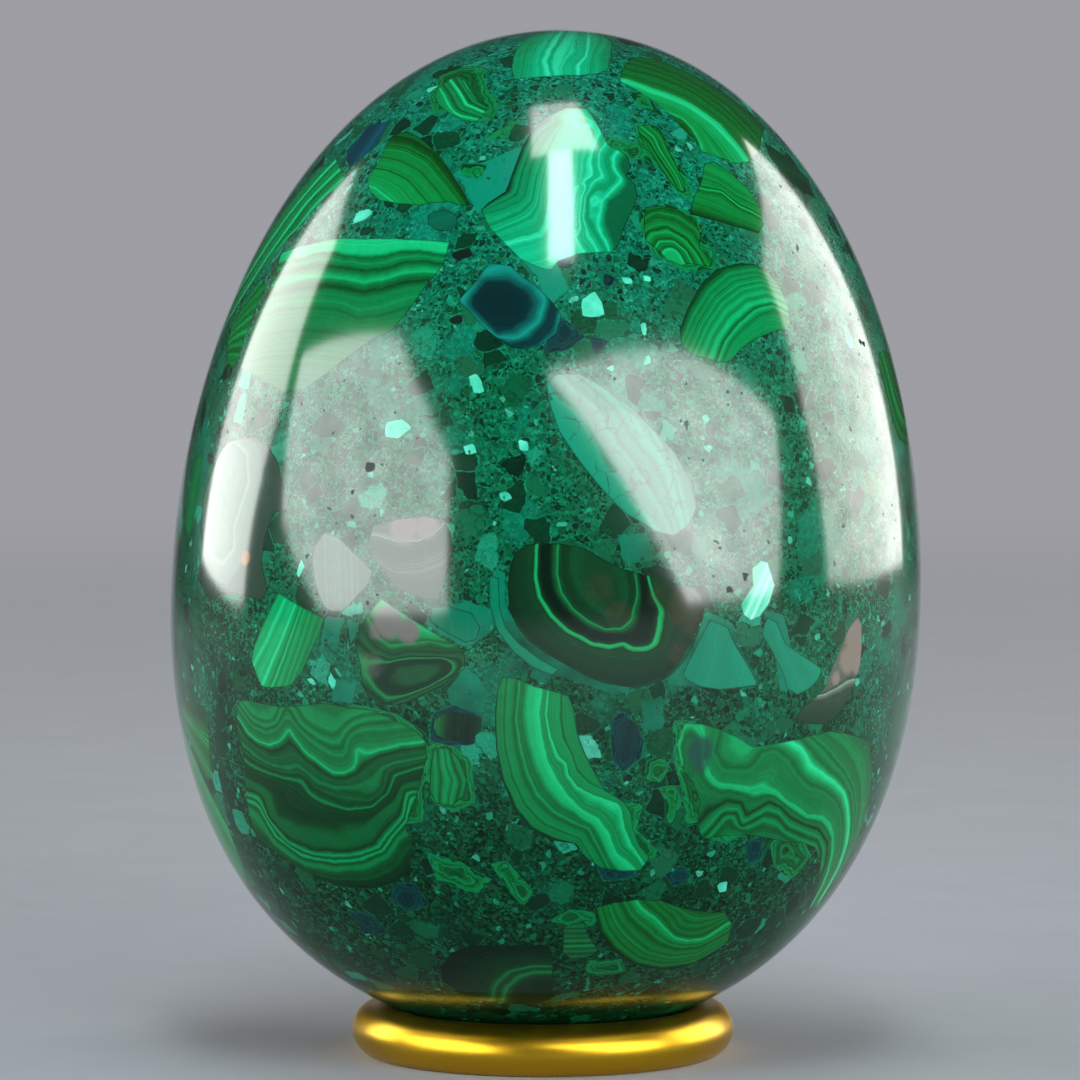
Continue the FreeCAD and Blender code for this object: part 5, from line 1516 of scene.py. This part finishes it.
@dataclass(frozen=True)
class PolishedBrass:
    """Gold-coloured brass, polished and handled."""

    colour: Colour = (0.62, 0.375, 0.018)
    handled: Colour = (0.62, 0.36, 0.030)
    roughness: float = 0.32
    relief: float = 0.000006

    def material(self, name: str) -> Any:
        """Lay out the ring's material.

        Args:
            name: the material's name.

        Returns:
            The material.
        """
        bench = Bench(name)
        touch = bench.noise(0.18, 5.0, 0.6)
        grain = bench.noise(2.4, 3.0)
        return bench.finish(
            Base_Color=bench.blend((touch * 2.0 + 0.4).held() * 0.5, self.colour, self.handled),
            Metallic=1.0, Roughness=touch * 0.16 + grain * 0.04 + self.roughness,
            Normal=bench.bump(grain, self.relief))


@dataclass(frozen=True)
class TableTop:
    """A plain pale table top that fades into the room.

    The room is lit behind the egg and dusky on the camera's side.
    """

    colour: Colour = (0.36, 0.38, 0.41)
    mottled: float = 0.86
    room: Colour = (0.34, 0.34, 0.37)
    dim: float = 0.10
    fades: Point = (60.0, 1100.0)
    lit: Point = (0.88, 0.98)
    black: Colour = (0.0, 0.0, 0.0)

    @property
    def dusk(self) -> Colour:
        """The room's colour on the camera's side."""
        return tuple(part * self.dim for part in self.room)

    def material(self, name: str) -> Any:
        """Lay out the table's material.

        Args:
            name: the material's name.

        Returns:
            The material.
        """
        bench = Bench(name)
        away = bench.node("ShaderNodeVectorMath", {"operation": "LENGTH"},
                          {0: bench.place}).outputs[1]
        far = Value(bench, away).eased(*self.fades)
        behind = (bench.part(bench.place, "Y") / Value(bench, away)).eased(*self.lit)
        mottle = (bench.noise(0.05, 8.0, 0.65) + 0.5).held()
        darker = tuple(share * self.mottled for share in self.colour)
        top = bench.blend(mottle, self.colour, darker)
        return bench.finish(
            Base_Color=bench.blend(far, top, self.black), Roughness=0.8, Specular_IOR_Level=0.0,
            Emission_Color=bench.blend(far, self.black, bench.blend(behind, self.dusk, self.room)),
            Emission_Strength=1.0)


@dataclass(frozen=True)
class Glow:
    """The face of a light panel, which fades out at its edge."""

    strength: float
    tint: Colour

    def material(self, name: str) -> Any:
        """Lay out the panel's material.

        Args:
            name: the material's name.

        Returns:
            The material, which reads the mesh's glow.
        """
        bench = Bench(name)
        inner = bench.drawn("glow")
        cloud = bench.noise(0.006) * 0.5
        near = (inner + cloud * (1 - inner)).eased(0.0, 1.0)
        return bench.finish(
            Base_Color=(0.0, 0.0, 0.0, 1.0), Specular_IOR_Level=0.0, Roughness=1.0,
            Emission_Color=bench.blend(near, (0.0, 0.0, 0.0), self.tint),
            Emission_Strength=self.strength)


def close_mesh(tool: Any, name: str, material: Any) -> Any:
    """Turn a finished bmesh into an object in the scene.

    Args:
        tool: the bmesh, which is freed.
        name: the object's and the mesh's name.
        material: what it's made of.

    Returns:
        The object.
    """
    mesh = bpy.data.meshes.new(name)
    tool.to_mesh(mesh)
    tool.free()
    mesh.materials.append(material)
    made = bpy.data.objects.new(name, mesh)
    bpy.context.scene.collection.objects.link(made)
    return made


def places_of(mesh: Any) -> np.ndarray:
    """Read where a mesh's vertices are.

    Args:
        mesh: the mesh.

    Returns:
        One place for each vertex, in metres.
    """
    places = np.empty(len(mesh.vertices) * 3)
    mesh.vertices.foreach_get("co", places)
    return places.reshape(-1, 3)


@dataclass(frozen=True)
class StoneEgg:
    """The egg: its grit and the stones set into it, each its own piece.

    The marks are what the materials read: one number for each vertex.
    """

    body: str = "egg"
    matrix: str = "egg_matrix"
    stone_edge: float = 0.5
    matrix_edge: float = 0.62
    weld: float = 0.001
    near_skin: float = 0.002
    facing_out: float = 0.6
    split_rounds: int = 9
    zone_height: float = 90.0
    zone_middle: float = 0.36
    chip_margin: float = 0.03
    chip_depth: float = 38.0
    block: int = 500

    def build(self) -> list[Any]:
        """Make every piece of the egg.

        Returns:
            The new objects.
        """
        made = [self._piece(self.matrix, self.matrix_edge, GritMatrix(), self._grit_marks)]
        for node, bands in BAND_SHARES.items():
            made.append(self._piece(
                node, self.stone_edge, BandedStone(bands), partial(self._stone_marks, bands)))
        return made

    def _piece(self, node: str, longest: float, finish: Any,
               marks: Callable[[Any, np.ndarray], dict[str, np.ndarray]]) -> Any:
        """Copy one node of the egg, make its outside fine and give it its look.

        Args:
            node: the node's name.
            longest: longest edge left on the outside.
            finish: what the piece is made of.
            marks: works out the piece's marks from its mesh and skin.

        Returns:
            The new object.
        """
        tool = bmesh.new()
        tool.from_mesh(bpy.data.objects[node].data)
        bmesh.ops.remove_doubles(tool, verts=tool.verts, dist=self.weld * MM)
        self._find_skin(tool)
        self._refine(tool, longest)
        skin = self._lay(tool)
        piece = close_mesh(tool, f"{node}_polished", finish.material(f"{node}_look"))
        self._shade(piece.data, skin)
        for name, values in marks(piece.data, skin).items():
            mark = piece.data.attributes.new(name, "FLOAT", "POINT")
            mark.data.foreach_set("value", np.asarray(values, dtype=np.float32))
        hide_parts(node)
        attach(piece, self.body)
        return piece

    @staticmethod
    def _slots() -> dict[str, str]:
        """Return each node's material slot, as the record has it."""
        return {part["node"]: part["material_slot"] for part in frame["record"]["subparts"]}

    def _find_skin(self, tool: Any) -> None:
        """Make the faces that lie on the egg's outside smooth and the others flat.

        Args:
            tool: the mesh being made.
        """
        tool.verts.index_update()
        tool.normal_update()
        points = EGG.to_egg(np.array([vert.co[:] for vert in tool.verts]))
        out = EGG.normals(points) @ EGG.turn.T
        near = np.abs(np.sqrt(EGG.level(points)) - 1) < self.near_skin
        for face in tool.faces:
            ends = [vert.index for vert in face.verts]
            facing = face.normal.dot(Vector(out[ends[0]]))
            face.smooth = bool(near[ends].all() and facing > self.facing_out)

    def _refine(self, tool: Any, longest: float) -> None:
        """Split the outside's long edges until none is left.

        Args:
            tool: the mesh being made.
            longest: longest edge left.
        """
        for _ in range(self.split_rounds):
            edges = [edge for edge in tool.edges if edge.calc_length() > longest * MM
                     and any(face.smooth for face in edge.link_faces)]
            if not edges:
                break
            bmesh.ops.subdivide_edges(tool, edges=edges, cuts=1)
            bmesh.ops.triangulate(tool, faces=[f for f in tool.faces if len(f.verts) > 3])

    @staticmethod
    def _lay(tool: Any) -> np.ndarray:
        """Lay the outside's points on the egg's true form.

        Args:
            tool: the mesh being made.

        Returns:
            For each face, whether it's on the outside.
        """
        verts = [vert for vert in tool.verts if any(face.smooth for face in vert.link_faces)]
        laid = EGG.to_scene(EGG.lay_on(EGG.to_egg(np.array([v.co[:] for v in verts]))))
        for vert, place in zip(verts, laid):
            vert.co = place
        return np.array([face.smooth for face in tool.faces])

    @staticmethod
    def _shade(mesh: Any, skin: np.ndarray) -> None:
        """Give the outside the egg's own normals and leave the walls flat.

        Args:
            mesh: the piece's mesh.
            skin: for each face, whether it's on the outside.
        """
        mesh.polygons.foreach_set("use_smooth", skin)
        out = EGG.normals(EGG.to_egg(places_of(mesh))) @ EGG.turn.T
        corners = np.empty(len(mesh.loops), dtype=np.int32)
        mesh.loops.foreach_get("vertex_index", corners)
        normals = out[corners]
        normals[~np.repeat(skin, 3)] = 0.0
        mesh.normals_split_custom_set(normals.tolist())

    @staticmethod
    def _shares(points: np.ndarray, view: View) -> tuple[np.ndarray, np.ndarray]:
        """Work out where points lie in a view.

        Args:
            points: places in the egg's own frame.
            view: the direction they're seen along.

        Returns:
            Their sideways and upward shares, and their depth.
        """
        out, side, up = view.axes()
        deep = points @ out
        safe = np.where(np.abs(deep) < MM, MM, deep)
        return np.column_stack([points @ side / safe, points @ up / safe]), deep

    def _stone_marks(self, bands: Bands, mesh: Any, skin: np.ndarray) -> dict[str, np.ndarray]:
        """Work out a stone's marks.

        Args:
            bands: how the stone is banded.
            mesh: the stone's mesh.
            skin: for each face, whether it's on the outside.

        Returns:
            Its band, how deep it's stained, and the distance from its rim.
        """
        shares, _ = self._shares(EGG.to_egg(places_of(mesh)), bands.view)
        spot = np.zeros(len(shares))
        for across, upward, reach, strength in np.array(bands.spots) / PER_SHARE:
            gap = np.hypot(shares[:, 0] - across, shares[:, 1] - upward)
            spot = np.maximum(spot, strength * np.clip(1.6 - 1.1 * gap / reach, 0, 1))
        return {"band": BandField(bands).at(shares), "spot": spot, "rim": self._rim(mesh, skin)}

    def _rim(self, mesh: Any, skin: np.ndarray) -> np.ndarray:
        """Measure how far a stone's vertices are from the edge of its outside.

        Args:
            mesh: the stone's mesh.
            skin: for each face, whether it's on the outside.

        Returns:
            One distance for each vertex.
        """
        corners = np.array([face.vertices[:] for face in mesh.polygons])[skin]
        sides = np.sort(np.vstack([corners[:, [0, 1]], corners[:, [1, 2]], corners[:, [2, 0]]]))
        pairs, counts = np.unique(sides, axis=0, return_counts=True)
        border = pairs[counts == 1]
        places = places_of(mesh)
        start, end = places[border[:, 0]], places[border[:, 1]]
        along = end - start
        length = (along ** 2).sum(axis=1)
        rim = np.empty(len(places))
        for first in range(0, len(places), self.block):
            part = places[first:first + self.block, None]
            share = np.clip(((part - start) * along).sum(axis=2) / length, 0, 1)
            gaps = part - (start + along * share[..., None])
            rim[first:first + self.block] = np.sqrt((gaps ** 2).sum(axis=2).min(axis=1))
        return rim / MM

    def _grit_marks(self, mesh: Any, _: np.ndarray) -> dict[str, np.ndarray]:
        """Work out the grit's marks.

        Args:
            mesh: the grit's mesh.

        Returns:
            The share of the way up the egg, and how deep each vertex lies in
            the fragments of each kind.
        """
        points = EGG.to_egg(places_of(mesh))
        zone = points[:, 2] / self.zone_height + self.zone_middle
        marks = {"zone": np.clip(zone, -0.1, 1)}
        for kind, views in CHIP_SHARES.items():
            depth = np.full(len(points), -1.0)
            for view, outlines in views.items():
                shares, deep = self._shares(points, view)
                for outline in outlines:
                    corners = np.array(outline) / PER_SHARE
                    near = (deep > 0) & (shares > corners.min(axis=0) - self.chip_margin).all(axis=1)
                    near &= (shares < corners.max(axis=0) + self.chip_margin).all(axis=1)
                    inside = self._inside(shares[near], corners) * self.chip_depth
                    depth[near] = np.maximum(depth[near], inside)
            marks[kind.value] = np.clip(depth, -1, 6)
        return marks

    @staticmethod
    def _inside(places: np.ndarray, corners: np.ndarray) -> np.ndarray:
        """Measure how far inside an outline places lie.

        Args:
            places: sideways and upward shares of each place.
            corners: the outline's corners.

        Returns:
            The distance from the outline for each place, below 0 outside it.
        """
        least = np.full(len(places), np.inf)
        within = np.zeros(len(places), dtype=bool)
        for start, end in zip(corners, np.roll(corners, -1, axis=0)):
            run = end - start
            share = np.clip((places - start) @ run / (run @ run), 0, 1)
            gap = places - start - share[:, None] * run
            least = np.minimum(least, np.hypot(gap[:, 0], gap[:, 1]))
            if run[1]:
                across = start[0] + (places[:, 1] - start[1]) * run[0] / run[1]
                passed = (start[1] > places[:, 1]) != (end[1] > places[:, 1])
                within ^= passed & (places[:, 0] < across)
        return np.where(within, least, -least)


@dataclass(frozen=True)
class RingStand:
    """The plain brass ring the egg stands on."""

    body: str = "ring"
    node: str = "ring_stand"
    slot: str = "ring_brass"
    form: RingForm = EGG.ring
    section_sides: int = 72
    turn_steps: int = 256
    weld: float = 0.0001

    def build(self) -> Any:
        """Spin the ring from its section.

        Returns:
            The new object.
        """
        tool = bmesh.new()
        form = self.form
        section = bmesh.ops.create_circle(
            tool, segments=self.section_sides, radius=form.half * MM)["verts"]
        stand = Matrix.Translation((form.middle * MM, 0, form.level * MM))
        bmesh.ops.transform(
            tool, matrix=stand @ Matrix.Rotation(math.pi / 2, 4, "X"), verts=section)
        for vert in section:
            vert.co.z = max(vert.co.z, 0.0)
        bmesh.ops.spin(tool, geom=[*tool.verts, *tool.edges], cent=(0, 0, 0), axis=(0, 0, 1),
                       angle=math.tau, steps=self.turn_steps, use_merge=True)
        bmesh.ops.remove_doubles(tool, verts=tool.verts, dist=self.weld * MM)
        bmesh.ops.recalc_face_normals(tool, faces=tool.faces)
        for face in tool.faces:
            face.smooth = True
        ring = close_mesh(tool, "ring_polished", PolishedBrass().material("ring_look"))
        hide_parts(self.node)
        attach(ring, self.body)
        return ring


@dataclass(frozen=True)
class Panel:
    """A soft light panel, unseen by the camera.

    Its corners are azimuth and tilt in degrees as the egg sees them, and its
    distances are metres.
    """

    name: str
    corners: tuple[Point, ...]
    strength: float
    tint: Colour = (1.0, 1.0, 1.0)
    softness: float = 0.07
    away: float = 1.3
    middle_height: float = 0.056

    def build(self) -> Any:
        """Make the panel.

        Returns:
            The new object.
        """
        tool = bmesh.new()
        middle = Vector((0, 0, self.middle_height))
        for corner in self.corners:
            tool.verts.new(self.away * Vector(direction(*corner)) + middle)
        face = bmesh.ops.contextual_create(tool, geom=tool.verts)["faces"]
        edge = set(tool.verts)
        bmesh.ops.inset_individual(tool, faces=face, thickness=self.softness * self.away)
        bright = tool.verts.layers.float.new("glow")
        for vert in tool.verts:
            vert[bright] = 0.0 if vert in edge else 1.0
        glow = Glow(self.strength, self.tint).material(f"{self.name}_glow")
        panel = close_mesh(tool, self.name, glow)
        panel.visible_camera = False
        return panel


@dataclass(frozen=True)
class Studio:
    """The table, the light panels, the room and the camera, in metres and degrees."""

    panels: tuple[Panel, ...] = (
        Panel("left_band", ((-103, -3), (-99, 18), (-107, 34), (-129, 37), (-129, 0)), 4.6,
              (1.0, 0.99, 0.96), softness=0.09),
        Panel("left_patch", ((-97, 23), (-59, 33), (-31, 18), (-29, -2), (-63, -6),
                             (-88, 7)), 5.2, softness=0.14),
        Panel("right_patch", ((-1, 30), (45, 31), (77, 17), (72, -5), (50, -7), (27, 12)), 6.0,
              softness=0.13),
        Panel("right_beam", ((-2, 31), (16, 31), (62, -2), (48, -8)), 7.5, softness=0.11,
              away=1.25),
        Panel("right_band", ((94, -8), (90, 16), (93, 33), (137, 36), (138, -10)), 4.4,
              (1.0, 0.98, 0.94), softness=0.12),
        Panel("top_panel", ((-28, 75), (50, 75), (150, 81), (-130, 81)), 6.4, softness=0.014),
        Panel("top_strip", ((-3, 50), (9, 50), (20, 78), (-12, 78)), 12.0, (0.80, 0.96, 1.0),
              softness=0.035),
    )
    table: TableTop = TableTop()
    table_reach: float = 12.0
    lit: Point = (0.96, 0.99)
    camera_place: tuple[float, float, float] = (-0.0003, -0.6, 0.0914)
    camera_tilt: float = 3.469
    lens: float = 187.0
    sensor: float = 36.0

    def build(self) -> None:
        """Set up everything round the egg."""
        self._lay_table()
        for panel in self.panels:
            panel.build()
        self._fill_room()
        self._stand_camera()

    def _lay_table(self) -> None:
        """Lay the table top under the ring."""
        tool = bmesh.new()
        bmesh.ops.create_grid(tool, x_segments=1, y_segments=1, size=self.table_reach)
        close_mesh(tool, "table_top", self.table.material("table_top_look"))

    def _fill_room(self) -> None:
        """Fill the room with grey light that is dusky on the camera's side."""
        bench = Bench("room", bpy.data.worlds)
        way = bench.node("ShaderNodeTexCoord").outputs["Generated"]
        light = bench.blend(
            bench.part(way, "Y").eased(*self.lit), self.table.dusk, self.table.room)
        shone = bench.node("ShaderNodeBackground", None, {"Color": light})
        bench.node("ShaderNodeOutputWorld", None, {0: shone.outputs[0]})
        bpy.context.scene.world = bench.owner

    def _stand_camera(self) -> None:
        """Stand the camera where the photo was taken from."""
        made = bpy.data.cameras.new("camera")
        made.lens = self.lens
        made.sensor_width = self.sensor
        camera = bpy.data.objects.new("camera", made)
        camera.location = self.camera_place
        camera.rotation_euler = (math.radians(90 - self.camera_tilt), 0, 0)
        bpy.context.scene.collection.objects.link(camera)
        bpy.context.scene.camera = camera


def main() -> None:
    """Build the egg, its ring and the studio, and report each piece."""
    logging.basicConfig(level=logging.INFO, format="%(name)s %(message)s")
    for piece in (*StoneEgg().build(), RingStand().build()):
        LOG.info("%s: %d faces", piece.name, len(piece.data.polygons))
    Studio().build()
    bpy.context.scene.view_settings.view_transform = "Standard"


if __name__ == "__main__":
    main()
